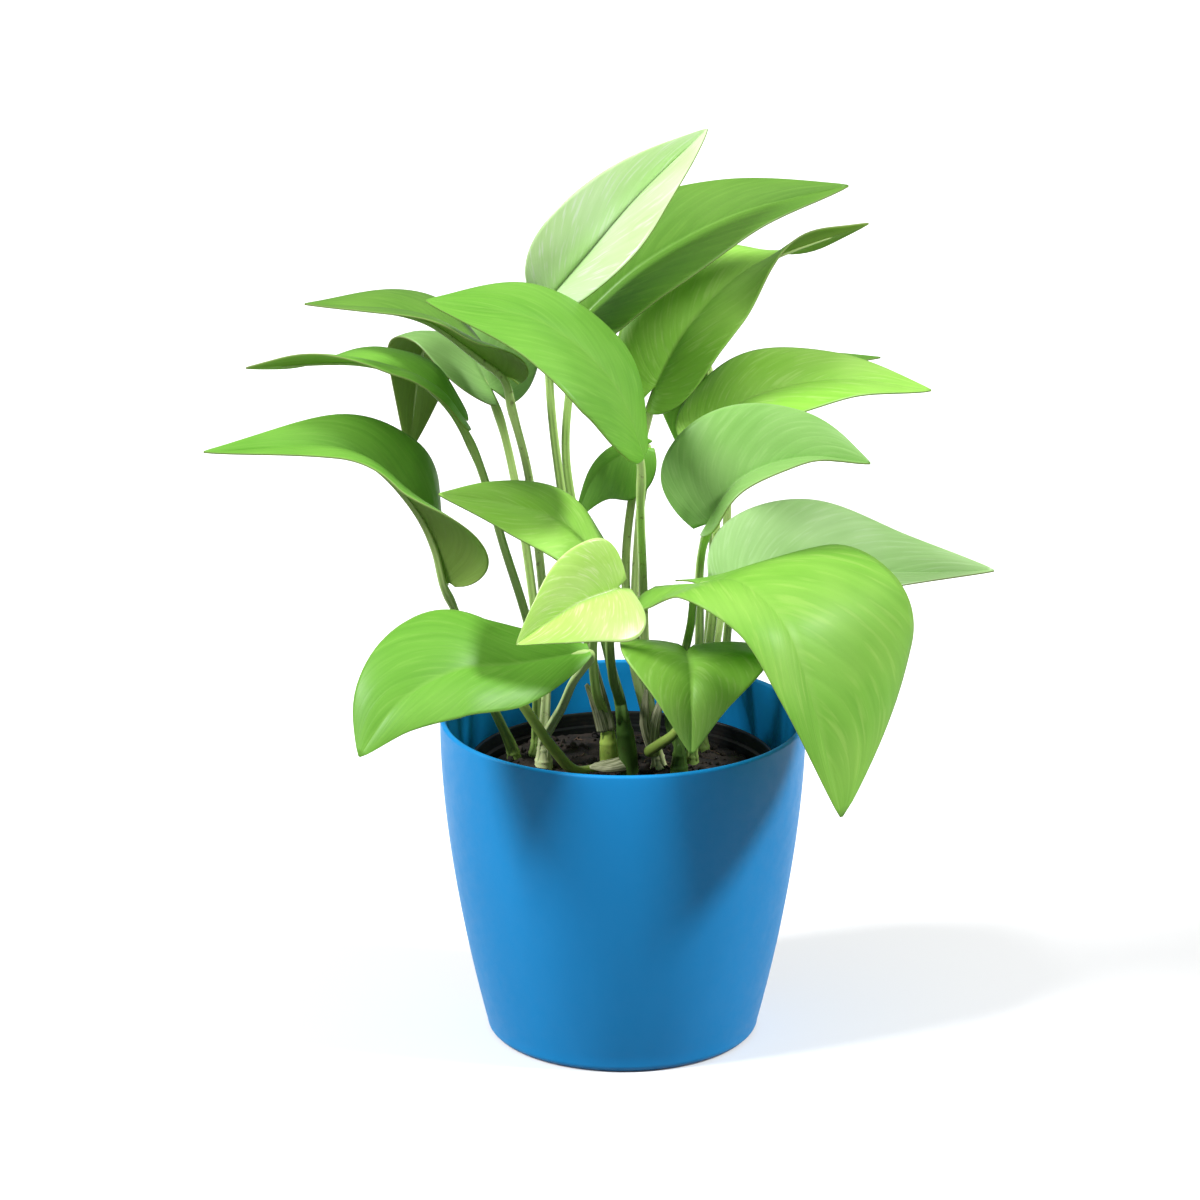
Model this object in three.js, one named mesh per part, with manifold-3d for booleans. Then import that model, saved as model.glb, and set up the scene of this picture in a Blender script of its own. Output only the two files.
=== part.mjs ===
// A golden pothos of nineteen leaves in a black nursery pot, standing in a blue plastic cover pot.
// Millimetres, +Z up. The origin is the centre of the cover pot's foot, -Y is the front, +X is to the right.
import * as THREE from "three";
import { mergeVertices } from "three/addons/utils/BufferGeometryUtils.js";
import Module from "manifold-3d";

const wasm = await Module();
wasm.setup();

// Driving sizes of the cover pot: a moulded tumbler that swells from a rounded foot to its widest at the rim.
const POT_HEIGHT = 99;
const POT_RIM_RADIUS = 55;
const POT_FOOT_RADIUS = 40.6;
const POT_WALL = 1.8;
const POT_FLOOR = 2.2;
const POT_FOOT_ROUND = 2.6;
const POT_SWELL_HEIGHT = 95;
const POT_SWELL_POWER = 1.7;
const POT_SIDES = 48;

// Driving sizes of the nursery pot, which stands loose on the cover pot's floor.
const GAP = 0.3;
const NURSERY_RIM_HEIGHT = 85;
const NURSERY_RIM_RADIUS = 46.4;
const NURSERY_RIM_BAND = 5;
const NURSERY_RIM_LEDGE = 1.4;
const NURSERY_FOOT_RADIUS = 33;
const NURSERY_WALL = 1.1;
const NURSERY_SIDES = 40;
const DRAIN_HOLES = 5;
const DRAIN_RADIUS = 3.2;
const DRAIN_RING = 21;

// Driving sizes of the soil and of the stems that stand in it.
const SOIL_TOP = 80;
const SOIL_RELIEF = 0.8;
const SOIL_RINGS = [0, 9, 18, 27, 35, 41];
const ROOT_DEPTH = 20;
const STEM_RADIUS = 2.9;
const PETIOLE_RADIUS = 1.55;
const STEM_SIDES = 8;
const PETIOLE_SIDES = 6;
const STUB_RADIUS = 1.8;
const SHEATH_RADIUS = 2.6;
const SHEATH_SPREAD = 1.2;
const SHEATH_THICKNESS = 0.7;
const SHEATH_ROWS = 6;

// Driving sizes of a leaf blade, as shares of the midrib's length where they have no unit.
const BLADE_THICKNESS = 0.8;
const BLADE_ROWS = 11;
const BLADE_COLUMNS = 3;
const BLADE_LOBE = 0.1;
const BLADE_BELLY = 0.9;
const BLADE_BULGE = 0.07;
const BLADE_WAVE = 0.02;
const WAVES = 2.2;
const WAVE_SHIFT = 0.4;
const WIDEST = 0.28;
const ROW_SPACING = 1.8; // rows of the grid lie closer together near the stalk
const TWIST_FROM = 0.35;
const TWIST_TO = 0.85;

const vector = ([x, y, z]) => new THREE.Vector3(x, y, z);
const curveThrough = (points) => new THREE.CatmullRomCurve3(points.map(vector), false, "centripetal");

// A closed geometry as a solid that can be joined and cut.
function solidOf(geometry) {
  const bare = geometry.index ? geometry.clone() : geometry;
  bare.deleteAttribute("normal");
  bare.deleteAttribute("uv");
  const merged = mergeVertices(bare, 1e-4);
  return new wasm.Manifold(
    new wasm.Mesh({
      numProp: 3,
      vertProperties: merged.attributes.position.array,
      triVerts: new Uint32Array(merged.index.array),
    }),
  );
}

function geometryOf(solid) {
  const mesh = solid.getMesh();
  return new THREE.BufferGeometry()
    .setAttribute("position", new THREE.BufferAttribute(mesh.vertProperties, 3))
    .setIndex(new THREE.BufferAttribute(mesh.triVerts, 1));
}

// A profile of [radius, height] pairs turned about the upright axis.
function turned(profile, sides) {
  const points = profile.map(([radius, height]) => new THREE.Vector2(radius, height));
  return new THREE.LatheGeometry(points, sides).rotateX(Math.PI / 2);
}

// A round bar of one radius along a curve through the given points.
function bar(points, radius, sides, steps) {
  const section = new THREE.Shape();
  for (let side = 0; side < sides; side++) {
    const angle = (2 * Math.PI * side) / sides;
    const move = side === 0 ? "moveTo" : "lineTo";
    section[move](radius * Math.cos(angle), radius * Math.sin(angle));
  }
  section.closePath();
  return new THREE.ExtrudeGeometry(section, { steps, extrudePath: curveThrough(points), bevelEnabled: false });
}

// The cover pot: its wall follows one swelling curve, outside and inside, up to a rounded lip.
function potRadius(height) {
  const share = Math.min(height / POT_SWELL_HEIGHT, 1);
  return POT_RIM_RADIUS - (POT_RIM_RADIUS - POT_FOOT_RADIUS) * Math.pow(1 - share, POT_SWELL_POWER);
}

function coverPot() {
  const profile = [[0, 0]];
  for (let step = 0; step <= 3; step++) {
    const angle = (Math.PI / 2) * (step / 3);
    const inset = POT_FOOT_ROUND * (1 - Math.sin(angle));
    const height = POT_FOOT_ROUND * (1 - Math.cos(angle));
    profile.push([potRadius(POT_FOOT_ROUND) - inset, height]);
  }
  const lip = POT_WALL / 2;
  const wallHeights = [10, 19, 29, 40, 52, 66, 82, POT_HEIGHT - lip];
  wallHeights.forEach((height) => profile.push([potRadius(height), height]));
  for (let step = 1; step <= 3; step++) {
    const angle = (Math.PI * step) / 4;
    profile.push([POT_RIM_RADIUS - lip + lip * Math.cos(angle), POT_HEIGHT - lip + lip * Math.sin(angle)]);
  }
  wallHeights.reverse().forEach((height) => profile.push([potRadius(height) - POT_WALL, height]));
  profile.push([potRadius(POT_FLOOR) - POT_WALL - 2, POT_FLOOR + 0.8]);
  profile.push([potRadius(POT_FLOOR) - POT_WALL - 4, POT_FLOOR]);
  profile.push([0, POT_FLOOR]);
  return solidOf(turned(profile, POT_SIDES));
}

// The nursery pot: a thin tapered cup with a stepped rim band and drain holes in its floor.
const nurseryFloor = POT_FLOOR + GAP;
const nurseryBandFoot = NURSERY_RIM_HEIGHT - NURSERY_RIM_BAND;
function nurseryRadius(height) {
  const share = (height - nurseryFloor) / (nurseryBandFoot - nurseryFloor);
  return NURSERY_FOOT_RADIUS + (NURSERY_RIM_RADIUS - NURSERY_RIM_LEDGE - NURSERY_FOOT_RADIUS) * share;
}

function nurseryPot() {
  const bodyTop = nurseryRadius(nurseryBandFoot);
  const profile = [
    [0, nurseryFloor],
    [NURSERY_FOOT_RADIUS - 1.5, nurseryFloor],
    [NURSERY_FOOT_RADIUS, nurseryFloor + 1.5],
    [bodyTop, nurseryBandFoot],
    [NURSERY_RIM_RADIUS - 0.2, nurseryBandFoot],
    [NURSERY_RIM_RADIUS, NURSERY_RIM_HEIGHT - 0.4],
    [NURSERY_RIM_RADIUS - NURSERY_WALL / 2, NURSERY_RIM_HEIGHT],
    [NURSERY_RIM_RADIUS - NURSERY_WALL, NURSERY_RIM_HEIGHT - 0.4],
    [NURSERY_RIM_RADIUS - 0.2 - NURSERY_WALL, nurseryBandFoot + NURSERY_WALL],
    [bodyTop - NURSERY_WALL, nurseryBandFoot + NURSERY_WALL],
    [NURSERY_FOOT_RADIUS - NURSERY_WALL, nurseryFloor + 2],
    [NURSERY_FOOT_RADIUS - 1.5 - NURSERY_WALL, nurseryFloor + NURSERY_WALL],
    [0, nurseryFloor + NURSERY_WALL],
  ];
  let pot = solidOf(turned(profile, NURSERY_SIDES));
  for (let hole = 0; hole < DRAIN_HOLES; hole++) {
    const angle = (2 * Math.PI * hole) / DRAIN_HOLES;
    const drill = new THREE.CylinderGeometry(DRAIN_RADIUS, DRAIN_RADIUS, 6, 12)
      .rotateX(Math.PI / 2)
      .translate(DRAIN_RING * Math.cos(angle), DRAIN_RING * Math.sin(angle), nurseryFloor);
    pot = pot.subtract(solidOf(drill));
  }
  return pot;
}

// The soil fills the nursery pot to just under its rim band, with a low uneven top.
function pottingSoil(holes) {
  const foot = nurseryFloor + NURSERY_WALL + GAP;
  const clear = NURSERY_WALL + GAP;
  const edge = nurseryRadius(SOIL_TOP - 1) - clear - 0.1;
  const profile = [
    [0, foot],
    [NURSERY_FOOT_RADIUS - 2.5 - clear, foot],
    [nurseryRadius(foot + 4) - clear - 0.2, foot + 4],
    [edge, SOIL_TOP - 2],
    ...SOIL_RINGS.slice().reverse().map((radius) => [radius, SOIL_TOP]),
  ];
  const geometry = turned(profile, NURSERY_SIDES);
  const position = geometry.attributes.position;
  for (let i = 0; i < position.count; i++) {
    if (position.getZ(i) < SOIL_TOP - 0.01) continue;
    const x = position.getX(i);
    const y = position.getY(i);
    const relief = Math.sin(x * 0.31 + 1.1) * Math.cos(y * 0.27) + 0.6 * Math.sin(x * 0.83 - y * 0.71);
    position.setZ(i, SOIL_TOP + SOIL_RELIEF * relief);
  }
  return holes.reduce((soil, hole) => soil.subtract(hole), solidOf(geometry));
}

// How far along the midrib, and how far out from it, the leaf's margin runs: a heart with a drawn-out tip.
const marginAlong = (x, lobe) => -lobe + (1 + lobe) * Math.pow(x, 1.5);
const marginOut = (x, belly) => {
  const round = Math.pow(Math.max(Math.sin(Math.PI * Math.pow(x, belly)), 0), 0.78);
  return round * (1 - 0.3 * Math.pow(x, 10)) + 0.1 * Math.pow(1 - x, 4) + 0.012;
};

// One blade. Its midrib is a curve, and `left` and `right` reach from the midrib to the margin where the
// leaf is widest, as seen from the stalk with the upper face up; `at` is that place's share of the midrib.
// `twist` turns the outer half of the blade, `lobe` is how far the heart's lobes reach back past the stalk,
// and a larger `belly` moves the widest place towards the tip.
function blade(leaf) {
  const { midrib, left, right, at = WIDEST, twist = 0, lobe = BLADE_LOBE, belly = BLADE_BELLY } = leaf;
  const spine = curveThrough(midrib);
  const length = spine.getLength();
  const widestTangent = spine.getTangentAt(at);
  const side = [left, right].map(vector);
  const positions = [];
  for (let row = 0; row <= BLADE_ROWS; row++) {
    const x = row / BLADE_ROWS;
    const along = Math.pow(x, ROW_SPACING);
    const centre = spine.getPointAt(along);
    const tangent = spine.getTangentAt(along);
    const bend = new THREE.Quaternion().setFromUnitVectors(widestTangent, tangent);
    const turn = THREE.MathUtils.degToRad(twist) * THREE.MathUtils.smoothstep(along, TWIST_FROM, TWIST_TO);
    const rowOut = marginOut(x, belly);
    for (let column = -BLADE_COLUMNS; column <= BLADE_COLUMNS; column++) {
      const out = Math.abs(column) / BLADE_COLUMNS;
      const reach = side[column < 0 ? 0 : 1].clone().applyQuaternion(bend).applyAxisAngle(tangent, turn);
      reach.addScaledVector(tangent, -reach.dot(tangent));
      const width = reach.length();
      const up = new THREE.Vector3().crossVectors(tangent, reach).normalize();
      if (column >= 0) up.negate();
      const wave = Math.sin(2 * Math.PI * (WAVES * x + (column < 0 ? 0 : WAVE_SHIFT)));
      const lift = (4 * BLADE_BULGE * out * (1 - out) + BLADE_WAVE * out * out * wave) * width * rowOut;
      const point = centre
        .clone()
        .addScaledVector(tangent, length * (marginAlong(x, lobe) - along) * out)
        .addScaledVector(reach, rowOut * out)
        .addScaledVector(up, lift);
      positions.push(point.x, point.y, point.z);
    }
  }
  return thickened(positions, BLADE_ROWS, 2 * BLADE_COLUMNS, BLADE_THICKNESS);
}

// Gives a grid of points a thickness: both faces have the same triangles, and a rim joins them.
function thickened(positions, rows, columns, thickness) {
  const across = columns + 1;
  const faces = [];
  for (let row = 0; row < rows; row++) {
    for (let column = 0; column < columns; column++) {
      const a = row * across + column;
      const [b, c, d] = [a + 1, a + across, a + across + 1];
      const split = column < columns / 2 ? [a, c, b, b, c, d] : [a, c, d, a, d, b];
      faces.push(...split);
    }
  }
  const sheet = new THREE.BufferGeometry()
    .setAttribute("position", new THREE.Float32BufferAttribute(positions, 3))
    .setIndex(faces);
  sheet.computeVertexNormals();
  const normals = sheet.attributes.normal;
  const count = normals.count;
  const solid = [];
  for (const offset of [thickness / 2, -thickness / 2]) {
    for (let i = 0; i < count; i++) {
      solid.push(
        positions[3 * i] + offset * normals.getX(i),
        positions[3 * i + 1] + offset * normals.getY(i),
        positions[3 * i + 2] + offset * normals.getZ(i),
      );
    }
  }
  const rim = [];
  for (let column = 0; column < columns; column++) rim.push(column);
  for (let row = 0; row < rows; row++) rim.push(row * across + columns);
  for (let column = columns; column > 0; column--) rim.push(rows * across + column);
  for (let row = rows; row > 0; row--) rim.push(row * across);
  const index = faces.slice();
  for (let i = 0; i < faces.length; i += 3) {
    index.push(faces[i] + count, faces[i + 2] + count, faces[i + 1] + count);
  }
  rim.forEach((from, i) => {
    const to = rim[(i + 1) % rim.length];
    index.push(from, to, to + count, from, to + count, from + count);
  });
  return new THREE.BufferGeometry()
    .setAttribute("position", new THREE.Float32BufferAttribute(solid, 3))
    .setIndex(index);
}

// The leafy stems. A stem stands in the soil at `foot` and ends at `top`; each leaf's stalk leaves it there,
// runs through the points of `stalk` and ends where the midrib starts.
const leafyStems = [
  {
    name: "leafy_stem_far_left",
    foot: [-33, 15],
    top: [-34, 14, 85],
    leaves: [
      {
        name: "long_left",
        stalk: [[-38, 6, 97], [-46, -6, 119], [-50, -14, 137]],
        midrib: [[-51, -18, 153], [-57, -20, 165], [-73, -22, 180], [-122, -30, 190]],
        left: [14, -20, 12],
        right: [2, 14, 18],
        lobe: 0.02,
      },
    ],
  },
  {
    name: "leafy_stem_left_back",
    foot: [-26, 18],
    top: [-26, 17, 88],
    leaves: [
      {
        name: "slender_left",
        stalk: [[-27, 8, 118], [-36, 0, 154], [-43, -4, 180]],
        midrib: [[-48, -5, 194], [-56, -8, 204], [-74, -12, 212], [-110, -18, 212]],
        left: [2, -22, 11],
        right: [2, 18, -2],
        lobe: 0.05,
      },
      {
        name: "olive_back",
        stalk: [[-26, 24, 115], [-32, 30, 160], [-37, 33, 182]],
        midrib: [[-40, 34, 192], [-50, 47, 204], [-60, 58, 200], [-66, 60, 164]],
        left: [-17, -9, 2],
        right: [17, 8, 2],
      },
    ],
  },
  {
    name: "leafy_stem_left_front",
    foot: [-24, 9],
    top: [-24, 8, 89],
    leaves: [
      {
        name: "front_left",
        stalk: [[-18, -8, 107], [-12, -26, 123]],
        midrib: [[-10, -38, 132], [-27, -46, 132], [-50, -58, 139], [-67, -68, 130], [-76, -72, 111]],
        left: [-2, -18, -17],
        right: [-4, 16, 9],
        belly: 1.6,
        at: 0.55,
        lobe: 0,
      },
      {
        name: "shaded_left",
        stalk: [[-23, 11, 115], [-28, 10, 170], [-33, 11, 191]],
        midrib: [[-35, 12, 202], [-45, 12, 210], [-60, 10, 220], [-94, 6, 225]],
        left: [3, -20, 17],
        right: [-6, 18, -10],
        lobe: 0.08,
      },
    ],
  },
  {
    name: "leafy_stem_centre",
    foot: [-4, 9],
    top: [-5, 8, 97],
    stubs: [
      [[-5, 8, 84], [-15, 0, 84], [-23, -6, 93.5], [-30, -9, 106], [-36, -12, 116]],
    ],
    sheaths: [
      { path: [[-5, 7, 92], [-8, 4, 108], [-10, 2, 121]], face: [-1, -1, 0] },
      { path: [[-5, 6, 92], [-7, 4, 100], [-11, 3, 108]], face: [0, -1, 1] },
    ],
    leaves: [
      {
        name: "top",
        stalk: [[-10, 12, 116], [-19, 18, 168], [-22, 21, 197]],
        midrib: [[-22, 20, 223], [-7, 20, 233], [8, 24, 252], [25, 32, 272]],
        left: [-20, -5, 16],
        right: [3, -22, 2],
        lobe: 0.03,
      },
      {
        name: "centre",
        stalk: [[-8, 1, 106], [-9, -3, 122], [-7, -6, 138]],
        midrib: [[-7, -8, 152], [-19, -12, 164], [-36, -18, 171], [-54, -26, 176]],
        left: [-3, -20, -5],
        right: [4, 16, 2],
      },
    ],
  },
  {
    name: "leafy_stem_front",
    foot: [2, 1],
    top: [-1, -4, 106],
    sheaths: [{ path: [[1, -1, 85], [-4, -3, 84.5], [-10, -4, 84]], face: [0, -1, 1] }],
    leaves: [
      {
        name: "bright_front",
        stalk: [[-4, -12, 108], [-4, -26, 134]],
        midrib: [[-2, -41, 152], [-13, -48, 150], [-22, -54, 146], [-31, -60, 141]],
        left: [5, -14, -11],
        right: [0, 12, 14],
      },
      {
        name: "upper_right",
        stalk: [[-4, 14, 112], [-17, 26, 170], [-16, 31, 193]],
        midrib: [[-14, 30, 213], [8, 34, 226], [35, 42, 239], [68, 52, 250]],
        left: [-8, 12, 22],
        right: [5, -24, 4],
      },
    ],
  },
  {
    name: "leafy_stem_middle",
    foot: [11, 6],
    top: [10, 5, 87],
    stubs: [
      [[10, 5, 86], [8, -1, 88], [11, -6, 92], [15, -9, 96], [17, -10, 99]],
    ],
    sheaths: [
      { path: [[8, 4, 86], [9, 1, 96], [12, 0, 106]], face: [-1, -1, 0] },
      { path: [[8, 5, 86], [6, 3, 95], [7, 1, 107]], face: [-1, -1, 0] },
    ],
    leaves: [
      {
        name: "broad_left",
        stalk: [[7, 8, 112], [6, 4, 140], [5, -15, 169]],
        midrib: [[6, -20, 186], [-3, -21, 208], [-24, -23, 227], [-57, -29, 235]],
        left: [-4, -24, 1],
        right: [4, 25, 2],
        lobe: 0.06,
      },
      {
        name: "twisted",
        stalk: [[3, 16, 112], [1, 28, 141], [6, 38, 174]],
        midrib: [[10, 40, 191], [20, 46, 208], [37, 54, 223], [75, 66, 235]],
        left: [-20, 5, 2],
        right: [9, -10, -6],
        twist: -90,
      },
      {
        name: "dark_centre",
        stalk: [[4, 20, 116], [5, 26, 153]],
        midrib: [[6, 28, 175], [-1, 32, 171], [-8, 36, 164], [-15, 40, 148]],
        left: [8, -7, -9],
        right: [-7, 4, -1],
      },
    ],
  },
  {
    name: "leafy_stem_right_front",
    foot: [17, 1],
    top: [17, 0, 90],
    leaves: [
      {
        name: "front_right",
        stalk: [[16, -6, 104], [19, -14, 128]],
        midrib: [[22, -20, 147], [34, -38, 153], [46, -50, 145], [54, -58, 125], [63, -62, 89]],
        left: [49, 9, -6],
        right: [-9, -14, 3],
        belly: 1.35,
        at: 0.3,
        lobe: 0.2,
      },
      {
        name: "front_low",
        stalk: [[14, 2, 96], [16, 2, 108]],
        midrib: [[19, -4, 122], [20, -20, 121], [20, -30, 113], [20, -34, 99]],
        left: [23, 8, 2],
        right: [-18, 8, 1],
      },
    ],
  },
  {
    name: "leafy_stem_right",
    foot: [21, 11],
    top: [21, 11, 85],
    leaves: [
      {
        name: "round_right",
        stalk: [[23, 8, 120], [23, 4, 145]],
        midrib: [[25, -12, 163], [34, -10, 175], [52, -6, 181], [73, -4, 179]],
        left: [-11, 9, 17],
        right: [4, -19, 5],
        lobe: 0.07,
      },
      {
        name: "upper_side",
        stalk: [[27, 16, 124], [28, 22, 154]],
        midrib: [[24, 26, 181], [40, 28, 191], [65, 32, 195], [93, 34, 191]],
        left: [-3, 17, 8],
        right: [2, -22, -3],
      },
    ],
  },
  {
    name: "leafy_stem_right_back",
    foot: [24, 24],
    top: [24, 24, 88],
    leaves: [
      {
        name: "hanging_back",
        stalk: [[27, 34, 126], [28, 42, 167]],
        midrib: [[26, 50, 192], [25, 58, 188], [24, 64, 170], [24, 62, 148]],
        left: [-14, 0, -3],
        right: [14, 0, -3],
      },
      {
        name: "right_back",
        stalk: [[31, 48, 122], [33, 62, 165]],
        midrib: [[35, 68, 185], [47, 72, 189], [62, 76, 190], [80, 80, 189]],
        left: [0, 16, 0],
        right: [0, -15, -2],
      },
      {
        name: "right_low",
        stalk: [[30, 18, 104], [32, 14, 125]],
        midrib: [[34, 10, 138], [53, 14, 140], [84, 18, 138], [112, 18, 139]],
        left: [-2, 14, 18],
        right: [2, -21, 1],
      },
    ],
  },
];

// A stem's own bar, from its root in the soil to its top, and the wider one that makes its hole.
const stemPath = ({ foot, top }) => [[foot[0], foot[1], SOIL_TOP - ROOT_DEPTH], [foot[0], foot[1], SOIL_TOP], top];
const stemBar = (stem) => solidOf(bar(stemPath(stem), STEM_RADIUS, STEM_SIDES, 4));
const stemHole = ({ foot }) => {
  const deep = [foot[0], foot[1], SOIL_TOP - ROOT_DEPTH - GAP];
  return solidOf(bar([deep, [foot[0], foot[1], SOIL_TOP + 6]], STEM_RADIUS + 0.5, STEM_SIDES, 1));
};

// The dry sheath of an old leaf: a papery trough along `path` that opens away from `face` and ends in a point.
function drySheath({ path, face }) {
  const spine = curveThrough(path);
  const positions = [];
  for (let row = 0; row <= SHEATH_ROWS; row++) {
    const share = row / SHEATH_ROWS;
    const centre = spine.getPointAt(share);
    const tangent = spine.getTangentAt(share);
    const across = new THREE.Vector3().crossVectors(tangent, vector(face)).normalize();
    const outwards = new THREE.Vector3().crossVectors(across, tangent);
    const spread = SHEATH_SPREAD * (1 - 0.85 * share * share);
    for (let column = -2; column <= 2; column++) {
      const angle = (spread * column) / 2;
      const point = centre
        .clone()
        .addScaledVector(across, SHEATH_RADIUS * Math.sin(angle))
        .addScaledVector(outwards, SHEATH_RADIUS * (Math.cos(angle) - 1));
      positions.push(point.x, point.y, point.z);
    }
  }
  return thickened(positions, SHEATH_ROWS, 4, SHEATH_THICKNESS);
}

function leafyStem(stem) {
  let solid = stemBar(stem);
  const start = [stem.top[0], stem.top[1], stem.top[2] - 4];
  (stem.stubs ?? []).forEach((stub) => {
    solid = solid.add(solidOf(bar(stub, STUB_RADIUS, PETIOLE_SIDES, 8)));
  });
  (stem.sheaths ?? []).forEach((sheath) => {
    solid = solid.add(solidOf(drySheath(sheath)));
  });
  stem.leaves.forEach((leaf) => {
    const stalk = [start, ...leaf.stalk, leaf.midrib[0]];
    solid = solid.add(solidOf(bar(stalk, PETIOLE_RADIUS, PETIOLE_SIDES, 10))).add(solidOf(blade(leaf)));
  });
  // Only the outer skin is kept, so a small void closed in between stalks and sheaths is filled.
  return solid.decompose().reduce((outer, body) => (body.volume() > outer.volume() ? body : outer));
}

// Finishes: the colours of the daylight photograph, with no texture.
const finish = (color, roughness) => new THREE.MeshStandardMaterial({ color, roughness, metalness: 0 });
const bluePlastic = finish("#2f93d6", 0.42);
const blackPlastic = finish("#101416", 0.55);
const peat = finish("#1d1712", 0.95);
const leafGreen = finish("#7cc93a", 0.4);

const plant = new THREE.Group();
function place(name, solid, material) {
  const mesh = new THREE.Mesh(geometryOf(solid), material);
  mesh.name = name;
  plant.add(mesh);
}

place("cover_pot", coverPot(), bluePlastic);
place("nursery_pot", nurseryPot(), blackPlastic);
place("potting_soil", pottingSoil(leafyStems.map(stemHole)), peat);
leafyStems.forEach((stem) => place(stem.name, leafyStem(stem), leafGreen));

export default plant;
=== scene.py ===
import math
import random

import bmesh
import bpy
from mathutils import Matrix, Quaternion, Vector, noise


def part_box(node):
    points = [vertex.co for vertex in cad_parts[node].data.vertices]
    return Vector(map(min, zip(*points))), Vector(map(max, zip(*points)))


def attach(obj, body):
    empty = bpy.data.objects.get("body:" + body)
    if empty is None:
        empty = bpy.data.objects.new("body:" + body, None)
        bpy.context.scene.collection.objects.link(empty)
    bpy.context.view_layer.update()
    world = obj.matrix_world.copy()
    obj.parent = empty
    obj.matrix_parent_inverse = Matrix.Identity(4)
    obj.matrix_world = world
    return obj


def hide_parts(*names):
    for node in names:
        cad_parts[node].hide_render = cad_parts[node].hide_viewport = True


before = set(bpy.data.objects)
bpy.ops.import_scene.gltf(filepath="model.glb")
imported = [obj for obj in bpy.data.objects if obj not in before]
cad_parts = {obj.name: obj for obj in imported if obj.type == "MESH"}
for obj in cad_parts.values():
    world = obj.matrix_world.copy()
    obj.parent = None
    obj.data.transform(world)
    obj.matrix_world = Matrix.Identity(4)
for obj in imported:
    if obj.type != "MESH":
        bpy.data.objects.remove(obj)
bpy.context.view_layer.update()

# The cover pot is one injection-moulded cup of blue polypropylene. Its wall swells in one curve from a small
# rounded foot to the rim, ends in a rounded lip, and is the same thickness all over.
MM = 0.001
pot_low, pot_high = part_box("cover_pot")
POT_HEIGHT = pot_high.z / MM
POT_RIM_RADIUS = pot_high.x / MM
POT_FOOT_RADIUS = 40.6
POT_WALL = 1.8
POT_FLOOR = 2.2
POT_FOOT_ROUND = 2.6
POT_SWELL_HEIGHT = 95.0
POT_SWELL_POWER = 1.7
POT_SIDES = 192
POT_ROWS = 30
POT_LIP = POT_WALL / 2
POT_CORNER_ROUND = 3.0


def pot_radius(height):
    """The pot's outer radius at a height, both in millimetres."""
    share = min(height / POT_SWELL_HEIGHT, 1.0)
    return POT_RIM_RADIUS - (POT_RIM_RADIUS - POT_FOOT_RADIUS) * (1.0 - share) ** POT_SWELL_POWER


def arc(centre, radius, start, end, steps):
    """Points [radius, height] round a centre, from one angle in degrees to another."""
    angles = [math.radians(start + (end - start) * step / steps) for step in range(steps + 1)]
    return [(centre[0] + radius * math.cos(a), centre[1] + radius * math.sin(a)) for a in angles]


def turned(profile, sides):
    """A closed skin: a profile in millimetres that starts and ends on the axis, spun about it. A spin leaves its
    parts in no fixed order, so they are put in order at the end, and each run gives the same mesh."""
    bm = bmesh.new()
    points = [bm.verts.new((radius * MM, 0.0, height * MM)) for radius, height in profile]
    edges = [bm.edges.new(pair) for pair in zip(points, points[1:])]
    bmesh.ops.spin(bm, geom=points + edges, cent=(0, 0, 0), axis=(0, 0, 1),
                   angle=math.tau, steps=sides, use_merge=True)
    bmesh.ops.remove_doubles(bm, verts=bm.verts, dist=1e-6)
    bmesh.ops.recalc_face_normals(bm, faces=bm.faces)
    for parts, place in ((bm.verts, lambda vert: vert.co), (bm.faces, lambda face: face.calc_center_median())):
        order = sorted(parts, key=lambda part: place(part).to_tuple(6))
        order = {part: number for number, part in enumerate(order)}
        parts.sort(key=order.get)
    return bm


def piece(name, bm, materials, node_names, sharp=40.0):
    """Links a finished mesh that rides on the root body and stands for the CAD nodes it names."""
    mesh = bpy.data.meshes.new(name)
    bm.to_mesh(mesh)
    bm.free()
    mesh.shade_smooth()
    mesh.set_sharp_from_angle(angle=math.radians(sharp))
    made = bpy.data.objects.new(name, mesh)
    bpy.context.scene.collection.objects.link(made)
    for material in materials:
        mesh.materials.append(material)
    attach(made, "root")
    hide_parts(*node_names)
    return made


def linear(hex_colour):
    """An sRGB hex colour as linear red, green, blue and alpha."""
    parts = [int(hex_colour[i:i + 2], 16) / 255.0 for i in (1, 3, 5)]
    return [c / 12.92 if c <= 0.04045 else ((c + 0.055) / 1.055) ** 2.4 for c in parts] + [1.0]


def add_node(tree, kind, values=None, **settings):
    """Adds a shader node of a kind, sets its properties, and sets or links its inputs."""
    made = tree.nodes.new("ShaderNode" + kind)
    for key, value in settings.items():
        setattr(made, key, value)
    for socket, value in (values or {}).items():
        if isinstance(value, bpy.types.NodeSocket):
            tree.links.new(value, made.inputs[socket])
        else:
            made.inputs[socket].default_value = value
    return made


def cells(width):
    """A pattern's scale, from the width of one of its cells in millimetres."""
    return 1.0 / (width * MM)


def new_material(name):
    """A material, and its node tree, which is empty."""
    material = bpy.data.materials.new(name)
    material.use_nodes = True
    material.node_tree.nodes.clear()
    return material, material.node_tree


def outer_wall():
    """The outside from above the rounded foot to below the lip."""
    rise = POT_HEIGHT - POT_LIP - POT_FOOT_ROUND
    heights = [POT_FOOT_ROUND + rise * step / POT_ROWS for step in range(POT_ROWS + 1)]
    return [(pot_radius(height), height) for height in heights]


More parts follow.
